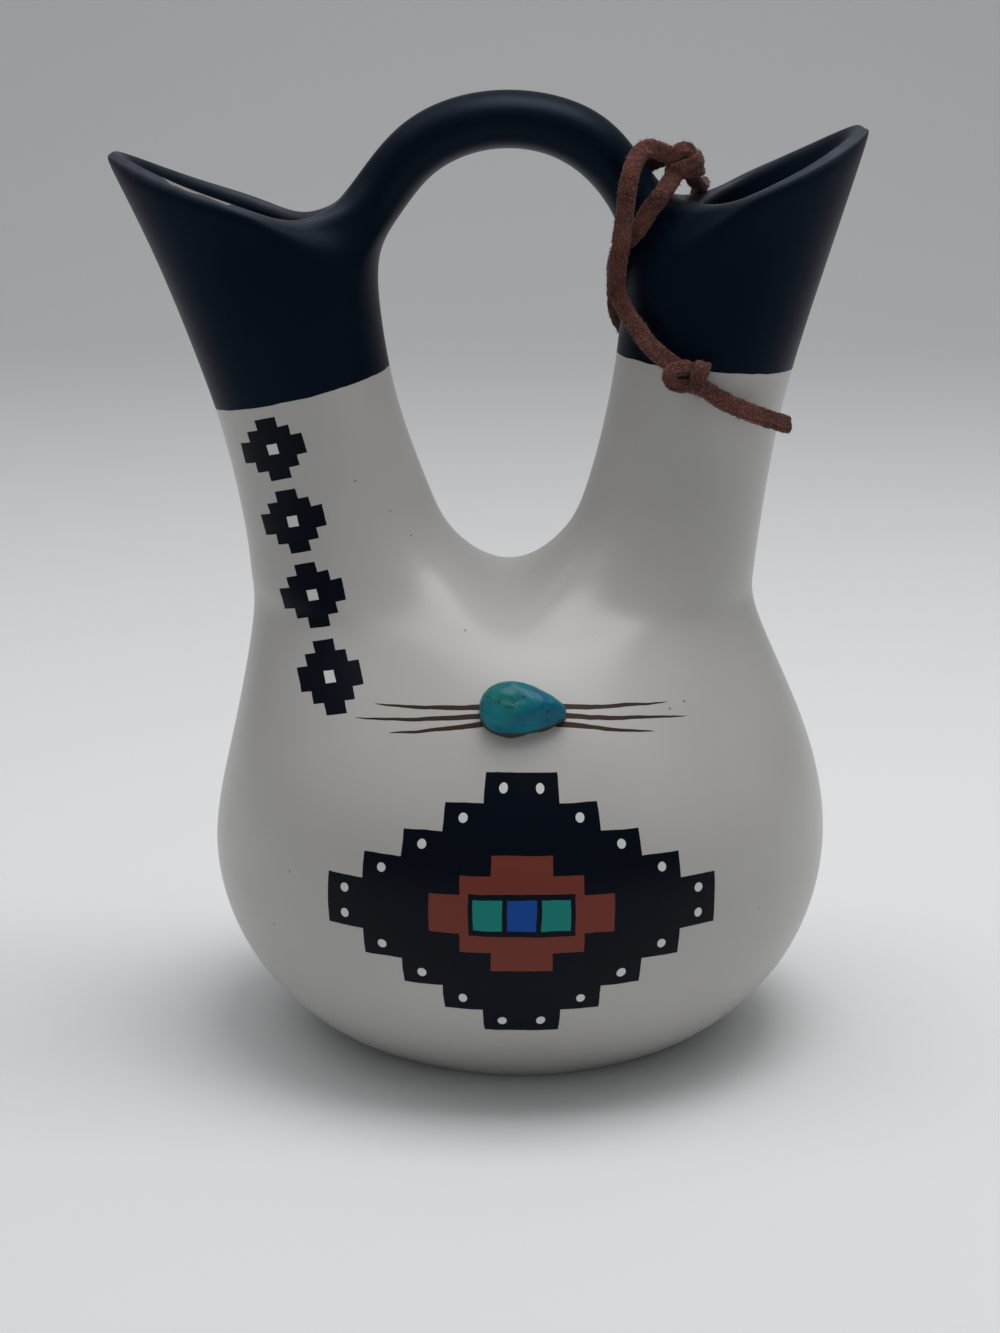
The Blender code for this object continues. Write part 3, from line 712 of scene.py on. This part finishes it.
def slipped(name, colour, thin, rub):
    """Slip brushed over clay and polished with a stone: soft clouds, faint level strokes, a satin skin."""
    finish = Finish(name)
    clouds = finish.noise(SLIP_CLOUDS, 2.0)
    strokes = finish.noise(SLIP_STROKES, 1.0, 0.5, STROKE_STRETCH)
    shade = finish.mix(clouds.span(0.2, 0.8), colour, thin)
    skin = finish.bump(finish.noise(SLIP_GRAIN, 2.0), 0.04, 0.35, finish.bump(strokes, 0.1, 0.2))
    rough = (clouds + strokes).span(0.5, 1.5, *rub)
    inside = finish.add("ShaderNodeAttribute", attribute_name="inside").also("Fac")
    return finish, shade, skin, rough, inside


def white_slip():
    finish, shade, skin, rough, inside = slipped("white_slip_painted", WHITE_SLIP, WHITE_SLIP_THIN, WHITE_RUB)
    spots = finish.add("ShaderNodeTexVoronoi", Vector=finish.place, Scale=SPECK_SPACING) < SPECK_RADIUS
    specks = spots * (finish.noise(SPECK_CLUSTERS, 1.0) > 0.5)
    shade, painted = painted_front(finish, finish.mix(specks * SPECK_STRENGTH, shade, SPECK))
    return finish.set(Base_Color=finish.mix(inside > 0.5, shade, BARE_CLAY), Roughness=rough,
                      Specular_IOR_Level=painted.span(0.0, 1.0, SLIP_GLOSS, PAINT_GLOSS),
                      Normal=finish.bump(painted, PAINT_THICKNESS, 0.5, skin))


vase_body = link("vase_body", clay_part("vase_body", False), white_slip())
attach(vase_body, "root")
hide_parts("bowl", "shoulder")


# Black slip
# The spouts, their lips and the handle are dipped and brushed with a blue-black slip and rubbed to a satin.
# The slip runs a finger's width over the lips and stops there, so the clay shows bare further in. The lips
# themselves are rubbed a little grey, and the same lighter grey is a painted highlight along their crests.
# On the near left one the slip has worn through.

BLACK_SLIP_THIN = (0.0022, 0.0064, 0.0150, 1.0)
BLACK_SHEEN = (0.5, 0.75, 1.0, 1.0)
BLACK_GLOSS = 0.11
BLACK_RUB = (0.35, 0.46)
# Lighter grey for the lip crests, in patches: partly rubbed wear, partly a painted highlight along them.
LIP_WEAR_AND_PAINTED_HIGHLIGHT = (0.052, 0.056, 0.070, 1.0)
LIP_WEAR_AND_HIGHLIGHT_PATCHES = 220.0
SLIP_ENDS_INSIDE = 0.51
SLIP_END_GRAIN = 90.0
SLIP_END_WAVER = 0.12
SLIP_SKIPS_NEAR_LIP = 0.38
WORN_LIP = (0.24, 0.215, 0.19, 1.0)
WORN_BEGINS = (-50.0, -60.0)
WORN_ENDS = (-80.0, -72.0)


def black_slip():
    finish, shade, skin, rough, inside = slipped("black_slip_satin", BLACK_SLIP, BLACK_SLIP_THIN, BLACK_RUB)
    x, y, _ = finish.spread()
    worn = (y < 0.0) * x.span(*WORN_BEGINS) * x.span(*WORN_ENDS)
    ragged = inside + finish.noise(SLIP_END_GRAIN, 3.0) * SLIP_END_WAVER + worn * SLIP_SKIPS_NEAR_LIP
    bare = finish.mix(worn * inside.span(0.75, 0.45), BARE_CLAY, WORN_LIP)
    patches = finish.noise(LIP_WEAR_AND_HIGHLIGHT_PATCHES, 3.0).span(0.2, 0.6, 0.5, 1.0)
    # Where the lip crests are painted lighter grey: rubbed wear and a painted highlight together.
    lip_wear_and_highlight = inside.span(0.01, 0.08) * inside.span(0.28, 0.16) * patches
    shade = finish.mix(ragged > SLIP_ENDS_INSIDE, finish.mix(lip_wear_and_highlight, shade, LIP_WEAR_AND_PAINTED_HIGHLIGHT), bare)
    return finish.set(Base_Color=shade, Roughness=rough, Specular_IOR_Level=BLACK_GLOSS,
                      Specular_Tint=BLACK_SHEEN, Normal=skin)


spouts = link("spouts_and_handle", clay_part("spouts_and_handle", True), black_slip())
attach(spouts, "root")
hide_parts("spout_left", "spout_right", "handle")


# Nugget
# A tumbled turquoise nugget with a brown matrix, pear-shaped, its point to the lower right, set in a thin
# bed of brown cement that was pressed out a little round its edge.

STONE_X = 0.2
STONE_Z = 81.9
STONE_WIDTH = 17.3
STONE_BREADTH = 10.3
STONE_SEAT = 0.84
STONE_EDGE = 0.7
STONE_DOME = 4.9
STONE_DOME_CURVE = 2.6
STONE_POINT_ANGLE = -6.0
STONE_TAPER = 0.4
STONE_SIDES = 112
STONE_RINGS = 36
STONE_LUMPS = 0.08
BROAD_LUMPS = 0.28
FINE_LUMPS = 0.61
BED_THICKNESS = 1.4
BED_SUNK = -0.2
BED_RIM = 0.15
BED_RAGGED = 0.45
TURQUOISE_DEEP = (0.002, 0.125, 0.20, 1.0)
TURQUOISE_PALE = (0.007, 0.225, 0.30, 1.0)
TURQUOISE_GREEN = (0.010, 0.18, 0.14, 1.0)
TURQUOISE_CLOUDS = 150.0
GREEN_CLOUDS = 110.0
TURQUOISE_GLOSS = 0.2
TURQUOISE_ROUGHNESS = (0.36, 0.6)
CRACK_GRAIN = 210.0
CRACK_WIDTH = 0.014
CRACK_PATCHES = 260.0
MATRIX_SPECKS = 480.0
MATRIX_BROWN = (0.030, 0.024, 0.020, 1.0)
CEMENT_DARK = (0.018, 0.012, 0.009, 1.0)
CEMENT_PALE = (0.07, 0.046, 0.031, 1.0)
CEMENT_GRAIN = 900.0
CEMENT_ROUGHNESS = (0.45, 0.8)


def stone_outline(angle):
    """Point of the nugget's pear outline, as right and up: it tapers to a point at the lower right."""
    along = STONE_WIDTH / 2.0 * cos(angle)
    across = STONE_BREADTH / 2.0 * sin(angle) * (1.0 - STONE_TAPER * cos(angle))
    turn = radians(STONE_POINT_ANGLE)
    return Vector((along * cos(turn) - across * sin(turn), along * sin(turn) + across * cos(turn)))


def pad(name, outline, back, front, material):
    """Closed pad that follows the clay: back and front are its heights above the clay, front a rule."""
    hit, normal, _, _ = clay_tree.ray_cast(Vector((STONE_X, -2.0 * BELLY_RADIUS, STONE_Z)) * MM,
                                           Vector((0.0, 1.0, 0.0)))
    across = Vector((0.0, 0.0, 1.0)).cross(normal).normalized()
    up = normal.cross(across)
    bm = bmesh.new()
    layers = []
    for height in (lambda share, flat: back, front):
        rings = []
        for i in range(STONE_RINGS + 1):
            share = i / STONE_RINGS
            ring = []
            for j in range(1 if i == 0 else STONE_SIDES):
                edge = outline(2.0 * pi * j / STONE_SIDES) * sin(share * pi / 2.0)
                flat = across * edge.x + up * edge.y
                start = hit + (flat + normal * STONE_WIDTH) * MM
                place, face, _, _ = clay_tree.ray_cast(start, -normal)
                ring.append(bm.verts.new(place + face * height(share, flat) * MM))
            rings.append(ring)
        layers.append(rings)
    for j in range(STONE_SIDES):
        k = (j + 1) % STONE_SIDES
        for rings, turn in zip(layers, (-1, 1)):
            bm.faces.new([rings[0][0], rings[1][j], rings[1][k]][::turn])
            for near, far in zip(rings[1:], rings[2:]):
                bm.faces.new([near[j], far[j], far[k], near[k]][::turn])
        low, high = layers[0][-1], layers[1][-1]
        bm.faces.new([low[j], low[k], high[k], high[j]])
    bmesh.ops.recalc_face_normals(bm, faces=bm.faces)
    return link(name, made_mesh(bm, name), material)


def stone_front(share, flat):
    """Height of the nugget's face: a dome with the soft flats and hollows of tumbling."""
    inward = sin(share * pi / 2.0)
    dome = STONE_DOME * max(1.0 - inward ** STONE_DOME_CURVE, 0.0) ** 0.5
    lumps = noise.noise(flat * BROAD_LUMPS) + 0.5 * noise.noise(flat * FINE_LUMPS)
    return STONE_SEAT + STONE_EDGE + dome * (1.0 + STONE_LUMPS * lumps)


def bed_outline(angle):
    ragged = noise.noise(Vector((cos(angle), sin(angle), 0.0)) * 2.2)
    edge = stone_outline(angle)
    return edge + edge.normalized() * (BED_RIM + BED_RAGGED * ragged)


def bed_front(share, flat):
    return BED_THICKNESS * max(1.0 - share ** 6, 0.0) ** 0.5 + 0.15 * noise.noise(flat * 0.9)


def turquoise():
    """Turquoise with greener and bluer clouds, and brown matrix in fine cracks and a few specks."""
    finish = Finish("turquoise_nugget")
    clouds = finish.noise(TURQUOISE_CLOUDS, 4.0)
    shade = finish.mix(clouds.span(0.35, 0.7), TURQUOISE_DEEP, TURQUOISE_PALE)
    greener = finish.noise(GREEN_CLOUDS, 2.0).span(0.54, 0.66, 0.0, 0.6)
    shade = finish.mix(greener, shade, TURQUOISE_GREEN)
    cracks = abs(finish.noise(CRACK_GRAIN, 3.0, 0.6) - 0.5) < CRACK_WIDTH
    patches = finish.noise(CRACK_PATCHES, 1.0) > 0.54
    specks = finish.noise(MATRIX_SPECKS, 4.0, 0.65) > 0.665
    matrix = (cracks * patches).most(specks)
    pits = finish.bump(matrix * -1.0, 0.15, 0.6)
    return finish.set(Base_Color=finish.mix(matrix * 0.8, shade, MATRIX_BROWN),
                      Roughness=matrix.span(0.0, 1.0, *TURQUOISE_ROUGHNESS),
                      Specular_IOR_Level=TURQUOISE_GLOSS, Normal=finish.bump(clouds, 0.3, 0.3, pits))


def cement():
    finish = Finish("brown_cement")
    grain = finish.noise(CEMENT_GRAIN, 5.0, 0.7)
    return finish.set(Base_Color=finish.mix(grain, CEMENT_DARK, CEMENT_PALE),
                      Roughness=grain.span(0.3, 0.7, *CEMENT_ROUGHNESS), Normal=finish.bump(grain, 0.4, 0.6))


nugget = pad("turquoise_stone", stone_outline, STONE_SEAT, stone_front, turquoise())
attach(nugget, "root")
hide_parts("turquoise_nugget")

bed = pad("cement_bed", bed_outline, BED_SUNK, bed_front, cement())
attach(bed, "root")
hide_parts("nugget_bed")


# Lace
# A strip cut from brown suede, limp and flat, with a raw fuzzy edge. It goes round the handle's right root
# and is tied above it; one tail falls in front of the spout to a second knot, the other hangs behind.

LACE_WIDTH = 3.7
LACE_THICKNESS = 1.9
LACE_CORNER = 0.55
LACE_ROUGHNESS = 0.42
LACE_GRAIN = 1100.0
LACE_STEP = 0.35
LACE_LIFT = 0.12
ROUTE_STEPS = 24
SOFTENING_ROUNDS = 6
CLAY_TURNS_LACE_TO = 2.5
CLAY_LETS_GO_OVER = 4.0
TWIST_FROM = 0.32
TWIST_OVER = 0.08
NAP = 6.0e5
EDGE_NAP = 2.4e6
EDGE_STEEPNESS = 0.6
FIBRE_LENGTH = 0.75
FIBRE_RADIUS = 0.06
FIBRE_SHARES = (0.35, 1.15)
SUEDE_PATCHES = 140.0
SUEDE_NAP = 2600.0
SUEDE_DARK = (0.055, 0.020, 0.018, 1.0)
SUEDE_PALE = (0.14, 0.052, 0.040, 1.0)
NAP_TIPS = (0.33, 0.16, 0.11, 1.0)
NAP_ROOTS = (0.026, 0.010, 0.009, 1.0)
KNOT_STEPS = 40
LOWER_KNOT_WIDTH = 3.2
UPPER_KNOT_WIDTH = 3.0
UPPER_KNOT = Vector((12.2, -6.0, 19.8))
LOWER_KNOT = Vector((12.9, -21.6, -22.5))
UPPER_ARCH = ((-1.9, 0.3, -1.2), (-1.7, -1.5, 1.0), (-0.3, -2.2, 2.7), (1.4, -1.9, 2.2), (2.1, -0.3, 0.2))
FRONT_ROUTE = ((5.2, -9.5, 22.8), (2.2, -12.0, 20.6), (0.7, -13.8, 16.0), (0.0, -14.4, 10.6),
               (-0.7, -13.8, 4.3), (-1.3, -12.2, -1.5), (-1.3, -10.9, -6.2), (0.3, -12.0, -10.0),
               (2.9, -15.4, -13.8), (6.1, -18.8, -17.5))
END_ROUTE = ((19.0, -22.0, -26.8), (24.7, -21.0, -29.7), (30.5, -19.0, -32.0), (34.4, -17.0, -33.5))
LOOP_ROUTE = ((8.0, -10.9, 13.9), (5.3, -10.6, 10.2), (2.6, -10.5, 6.0), (-0.7, -7.8, 2.0),
              (-2.0, -2.5, -2.6), (-1.9, 2.5, -7.4), (-0.9, 6.8, -13.0), (2.0, 11.5, -17.5),
              (6.6, 16.3, -18.5), (11.5, 19.3, -12.5), (15.0, 20.6, -4.0), (16.7, 20.6, 4.0),
              (17.2, 16.0, 12.6), (16.8, 9.0, 13.9), (15.7, 2.5, 14.6))
BACK_ROUTE = ((8.6, 1.0, 20.0), (4.7, 6.9, 17.4), (2.9, 11.6, 12.0), (4.3, 14.2, 5.0), (7.6, 16.9, -0.8))


def smooth_route(points):
    """Points at an even step along a smooth curve through the route's own points."""
    points = [Vector(p) for p in points]
    padded = [points[0] * 2.0 - points[1]] + points + [points[-1] * 2.0 - points[-2]]
    dense = []
    for a, b, c, d in zip(padded, padded[1:], padded[2:], padded[3:]):
        for i in range(ROUTE_STEPS):
            t = i / ROUTE_STEPS
            dense.append(0.5 * (2.0 * b + (c - a) * t + (2.0 * a - 5.0 * b + 4.0 * c - d) * t ** 2
                                + (3.0 * b - a - 3.0 * c + d) * t ** 3))
    dense.append(points[-1])
    travel = [0.0]
    for a, b in zip(dense, dense[1:]):
        travel.append(travel[-1] + (b - a).length)
    count = max(round(travel[-1] / LACE_STEP), 3)
    even = []
    i = 0
    for k in range(count + 1):
        goal = travel[-1] * k / count
        while i < len(travel) - 2 and travel[i + 1] < goal:
            i += 1
        share = (goal - travel[i]) / (travel[i + 1] - travel[i])
        even.append(dense[i].lerp(dense[i + 1], min(share, 1.0)))
    return even


def route_length(points):
    return sum((b - a).length for a, b in zip(points, points[1:]))


def softened(values):
    """A row of vectors with each one drawn towards its neighbours; the two ends stay."""
    for _ in range(SOFTENING_ROUNDS):
        drawn = [(a + b * 2.0 + c) / 4.0 for a, b, c in zip(values, values[1:], values[2:])]
        values = [values[0], *drawn, values[-1]]
    return values


def squared(points, ways):
    """The ways turned square to the run of the points."""
    square = []
    for i, way in enumerate(ways):
        run = (points[min(i + 1, len(points) - 1)] - points[max(i - 1, 0)]).normalized()
        square.append((way - run * way.dot(run)).normalized())
    return square


def laid_on_clay(points):
    """Points of a strip's middle, kept off the clay by half its thickness."""
    clearance = LACE_THICKNESS / 2.0 + LACE_LIFT
    laid = []
    for point in points:
        near, normal, _, _ = clay_tree.find_nearest(point * MM)
        near = near / MM
        height = (point - near).dot(normal)
        if height < clearance and (point - near).length < 3.0 * clearance:
            point = near + normal * clearance
        laid.append(point)
    return laid


def faces_of(points, facing):
    """The way that the strip's flat face looks at each point: off the clay, or as the lace is held."""
    ways = []
    for i, point in enumerate(points):
        _, normal, _, distance = clay_tree.find_nearest(point * MM)
        hold = min(max((distance / MM - CLAY_TURNS_LACE_TO) / CLAY_LETS_GO_OVER, 0.0), 1.0)
        ways.append(normal.lerp(facing(i / (len(points) - 1)), hold))
    return squared(points, softened(ways))


def strip_nodes(material):
    """Node tree that sweeps a flat strip along a path and stands a nap of fibres on it."""
    tree = bpy.data.node_groups.new("suede_strip", "GeometryNodeTree")
    tree.interface.new_socket("Path", in_out="INPUT", socket_type="NodeSocketGeometry")
    sockets = {}
    for name, value in (("Width", LACE_WIDTH * MM), ("Thickness", LACE_THICKNESS * MM),
                        ("Corner", LACE_CORNER * MM), ("Roughness", LACE_ROUGHNESS * MM),
                        ("Fibre length", FIBRE_LENGTH * MM), ("Nap", NAP), ("Edge nap", EDGE_NAP)):
        socket = tree.interface.new_socket(name, in_out="INPUT", socket_type="NodeSocketFloat")
        socket.default_value = value
        sockets[name] = socket.identifier
    tree.interface.new_socket("Strip", in_out="OUTPUT", socket_type="NodeSocketGeometry")

    nodes = Nodes(tree)
    path = nodes.add("NodeGroupInput")
    curve = nodes.add("GeometryNodeMeshToCurve", path)
    facing = nodes.add("GeometryNodeInputNamedAttribute", data_type="FLOAT_VECTOR", Name="facing")
    turned = nodes.add("GeometryNodeSetCurveNormal", mode="FREE", Curve=curve, Normal=facing)
    section = nodes.add("GeometryNodeCurvePrimitiveQuadrilateral", Width=path.also("Thickness"),
                        Height=path.also("Width"))
    rounded = nodes.add("GeometryNodeFilletCurve", mode="POLY", Curve=section, Radius=path.also("Corner"),
                        Count=3)
    finer = nodes.add("GeometryNodeResampleCurve", mode="LENGTH", Curve=rounded, Length=LACE_STEP * MM)
    swept = nodes.add("GeometryNodeCurveToMesh", Curve=turned, Profile_Curve=finer, Fill_Caps=True)
    grain = nodes.add("ShaderNodeTexNoise", Scale=LACE_GRAIN, Detail=3.0)
    normal = nodes.add("GeometryNodeInputNormal")
    push = nodes.add("ShaderNodeVectorMath", normal, operation="SCALE",
                     Scale=(grain - 0.5) * path.also("Roughness") * 2.0)
    rough = nodes.add("GeometryNodeSetPosition", Geometry=swept, Offset=push)
    joined = nodes.add("GeometryNodeJoinGeometry", nodes.add("GeometryNodeSetShadeSmooth", rough))

    fibre = nodes.add("GeometryNodeMeshCone", fill_type="NGON", Vertices=3, Radius_Top=0.0,
                      Radius_Bottom=FIBRE_RADIUS * MM, Depth=path.also("Fibre length"))
    flatness = nodes.add("ShaderNodeVectorMath", normal, facing, operation="DOT_PRODUCT").also("Value")
    on_edge = abs(flatness) < EDGE_STEEPNESS
    for density, seed, chosen in (("Nap", 3, None), ("Edge nap", 8, on_edge)):
        scatter = nodes.add("GeometryNodeDistributePointsOnFaces", Mesh=rough, Selection=chosen,
                            Density=path.also(density), Seed=seed)
        stray = nodes.add("FunctionNodeRandomValue", (-1.0, -1.0, -1.0), (1.0, 1.0, 1.0),
                          data_type="FLOAT_VECTOR", Seed=seed + 20)
        way = nodes.add("ShaderNodeVectorMath", scatter.also("Normal"), stray, operation="ADD")
        aim = nodes.add("FunctionNodeAlignRotationToVector", Vector=way)
        size = nodes.add("FunctionNodeRandomValue", None, None, *FIBRE_SHARES, data_type="FLOAT",
                         Seed=seed + 40).also(1)
        stand = nodes.add("GeometryNodeInstanceOnPoints", Points=scatter, Instance=fibre, Rotation=aim,
                          Scale=size)
        nodes.feed(joined.socket.node.inputs[0], stand)
    real = nodes.add("GeometryNodeRealizeInstances", joined)
    dressed = nodes.add("GeometryNodeSetMaterial", real, Material=material)
    nodes.feed(tree.nodes.new("NodeGroupOutput").inputs[0], dressed)
    return tree, sockets


def suede():
    """Suede: a soft brown nap, brushed lighter here and darker there, and nearly without shine."""
    finish = Finish("brown_suede")
    nap = finish.noise(SUEDE_NAP, 3.0, 0.7)
    shade = finish.mix(finish.noise(SUEDE_PATCHES, 4.0, 0.6).span(0.35, 0.68), SUEDE_DARK, SUEDE_PALE)
    shade = finish.mix(nap.span(0.52, 0.72, 0.0, 0.75), shade, NAP_TIPS)
    shade = finish.mix(nap.span(0.47, 0.33, 0.0, 0.6), shade, NAP_ROOTS)
    return finish.set(Base_Color=shade, Roughness=0.95, Specular_IOR_Level=0.2, Sheen_Weight=0.2,
                      Sheen_Roughness=0.4, Normal=finish.bump(nap, 0.25, 0.6))


strip_tree, strip_sockets = strip_nodes(suede())


def strip(name, *runs, width=LACE_WIDTH):
    """Suede strips, each run given as its points in millimetres and the ways its flat face looks."""
    mesh = bpy.data.meshes.new(name)
    first = 0
    edges = []
    for run, _ in runs:
        edges += [(first + i, first + i + 1) for i in range(len(run) - 1)]
        first += len(run)
    mesh.from_pydata([p * MM for run, _ in runs for p in run], edges, [])
    facing = mesh.attributes.new("facing", "FLOAT_VECTOR", "POINT")
    for i, way in enumerate(way for _, ways in runs for way in ways):
        facing.data[i].vector = way
    obj = link(name, mesh)
    nodes = obj.modifiers.new("strip", "NODES")
    nodes.node_group = strip_tree
    nodes[strip_sockets["Width"]] = width * MM
    piece = link(name, baked(obj))
    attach(piece, "root")
    return piece


root = handle_root(RIGHT)
upper = root + UPPER_KNOT
lower = root + LOWER_KNOT


def from_root(route):
    return [root + Vector(offset) for offset in route]


def front_facing(share):
    """The tail hangs flat to the front and takes half a twist on its way down."""
    twist = smoothstep(min(max((share - TWIST_FROM) / TWIST_OVER, 0.0), 1.0))
    return Vector((-0.25, -1.0, 0.25)).lerp(Vector((1.0, -0.7, 0.5)), twist)


def loop_facing(share):
    return Vector((-0.3, -1.0, 0.2)) if share < 0.3 else Vector((0.4, 0.6, 0.6))


def back_facing(share):
    return Vector((-0.4, 0.9, 0.3))


def wound(centre, along, radii, turns, start, shift, growth):
    """The strip wound round the lace: it wanders along by the shift and climbs over its own first turn."""
    along = along.normalized()
    out = Vector((0.0, -1.0, 0.0))
    out = (out - along * out.dot(along)).normalized()
    side = along.cross(out)
    steps = round(turns * KNOT_STEPS)
    points, ways = [], []
    for i in range(steps + 1):
        t = i / steps
        turn = 2.0 * pi * (turns * t + start)
        reach = 1.0 + growth * t
        points.append(centre + side * (cos(turn) * radii[0] * reach) + out * (sin(turn) * radii[1] * reach)
                      - along * (shift * cos(2.0 * pi * t)))
        ways.append(side * (cos(turn) / radii[0]) + out * (sin(turn) / radii[1]))
    return points, squared(points, ways)


def bight(centre, face, radii, start, end, dip, splay):
    """The strip turned back on itself in an open bight that lies flat on the knot, its ends tucked under."""
    points, ways = [], []
    for i in range(KNOT_STEPS + 1):
        t = i / KNOT_STEPS
        turn = radians(start + (end - start) * t)
        tuck = dip * abs(2.0 * t - 1.0) ** 4
        radial = Vector((cos(turn), 0.0, sin(turn)))
        points.append(centre + Vector((radial.x * radii[0], tuck, radial.z * radii[1])))
        ways.append(face + radial * splay)
    return points, squared(points, ways)


front_points = laid_on_clay(smooth_route([upper, *from_root(FRONT_ROUTE), lower, *from_root(END_ROUTE)]))
loop_points = laid_on_clay(smooth_route([upper, *from_root(LOOP_ROUTE), upper]))
back_points = laid_on_clay(smooth_route([upper, *from_root(BACK_ROUTE)]))

lace_front = strip("lace_front_tail", (front_points, faces_of(front_points, front_facing)))
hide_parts("lace_front", "lace_end")
lace_loop = strip("lace_loop_round_handle", (loop_points, faces_of(loop_points, loop_facing)))
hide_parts("lace_loop")
lace_back = strip("lace_back_tail", (back_points, faces_of(back_points, back_facing)))
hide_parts("lace_back")

lower_bight = bight(lower + Vector((-1.2, -1.7, 0.1)), face=Vector((0.0, -1.0, 0.15)), radii=(2.5, 1.75),
                    start=20.0, end=340.0, dip=2.6, splay=0.45)
lower_turn = wound(lower + Vector((2.3, 0.0, -0.3)), along=Vector((1.0, 0.0, -0.25)), radii=(2.45, 2.2),
                   turns=1.3, start=0.05, shift=0.3, growth=0.12)
knot_lower = strip("lace_lower_knot", lower_bight, lower_turn, width=LOWER_KNOT_WIDTH)
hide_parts("lace_knot_lower")

upper_turns = wound(upper + Vector((0.4, 0.0, -1.3)), along=Vector((0.3, 0.0, -1.0)), radii=(2.6, 2.2),
                    turns=1.9, start=-0.35, shift=1.1, growth=0.3)
arch = smooth_route([upper + Vector(p) for p in UPPER_ARCH])
arch_ways = squared(arch, softened([p - upper + Vector((0.0, -1.6, 0.0)) for p in arch]))
knot_upper = strip("lace_upper_knot", upper_turns, (arch, arch_ways), width=UPPER_KNOT_WIDTH)
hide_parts("lace_knot_upper")

for cord, points, far_end, lay, pieces in (
        (lace_front, front_points, "bare", "hanging", [knot_lower]),
        (lace_loop, loop_points, "knot", "taut", [knot_upper]),
        (lace_back, back_points, "bare", "hanging", [])):
    tuple(points[0] * MM)
    route_length(points) * MM
    [tuple(p * MM) for p in points]


# Table
# A pale sheet that lies flat under the vase and sweeps up behind it, under one broad soft lamp overhead
# and a smaller one just below it, whose reflection is the soft square of light on the shoulder. Sizes and
# places here are in metres.

SHEET_WIDTH = 6.0
SHEET_FRONT = -1.2
SHEET_BACK = 1.6
SHEET_BEND = 0.6
SHEET_TOP = 2.4
SHEET_ARC = 16
SHEET_COLOUR = (0.857, 0.868, 0.873, 1.0)
SHEET_ROUGHNESS = 0.8
LAMPS = (("overhead", (-0.05, 0.1, 0.95), (1.8, 0.9), 4.15), ("key", (0.14, 0.02, 0.93), (0.52, 0.5), 3.4))
ROOM_COLOUR = (0.76, 0.78, 0.8, 1.0)
ROOM_LIGHT = 0.29


def sweep():
    """The sheet, level in front and bent up in an arc behind."""
    rows = [(SHEET_FRONT, 0.0)]
    for i in range(SHEET_ARC + 1):
        angle = pi / 2.0 * i / SHEET_ARC
        rows.append((SHEET_BACK - SHEET_BEND + SHEET_BEND * sin(angle), SHEET_BEND * (1.0 - cos(angle))))
    rows.append((SHEET_BACK, SHEET_TOP))
    bm = bmesh.new()
    lines = [[bm.verts.new((x, y, z)) for x in (-SHEET_WIDTH / 2.0, SHEET_WIDTH / 2.0)] for y, z in rows]
    for near, far in zip(lines, lines[1:]):
        bm.faces.new([near[0], near[1], far[1], far[0]])
    paper = Finish("pale_sheet").set(Base_Color=SHEET_COLOUR, Roughness=SHEET_ROUGHNESS)
    return link("sheet", made_mesh(bm, "sheet"), paper)


sweep()

for name, place, size, power in LAMPS:
    lamp = bpy.data.lights.new(name, "AREA")
    lamp.shape = "RECTANGLE"
    lamp.size, lamp.size_y = size
    lamp.energy = power
    link(name, lamp).location = place

world = bpy.data.worlds.new("room")
world.use_nodes = True
room = world.node_tree.nodes["Background"].inputs
room["Color"].default_value = ROOM_COLOUR
room["Strength"].default_value = ROOM_LIGHT
bpy.context.scene.world = world
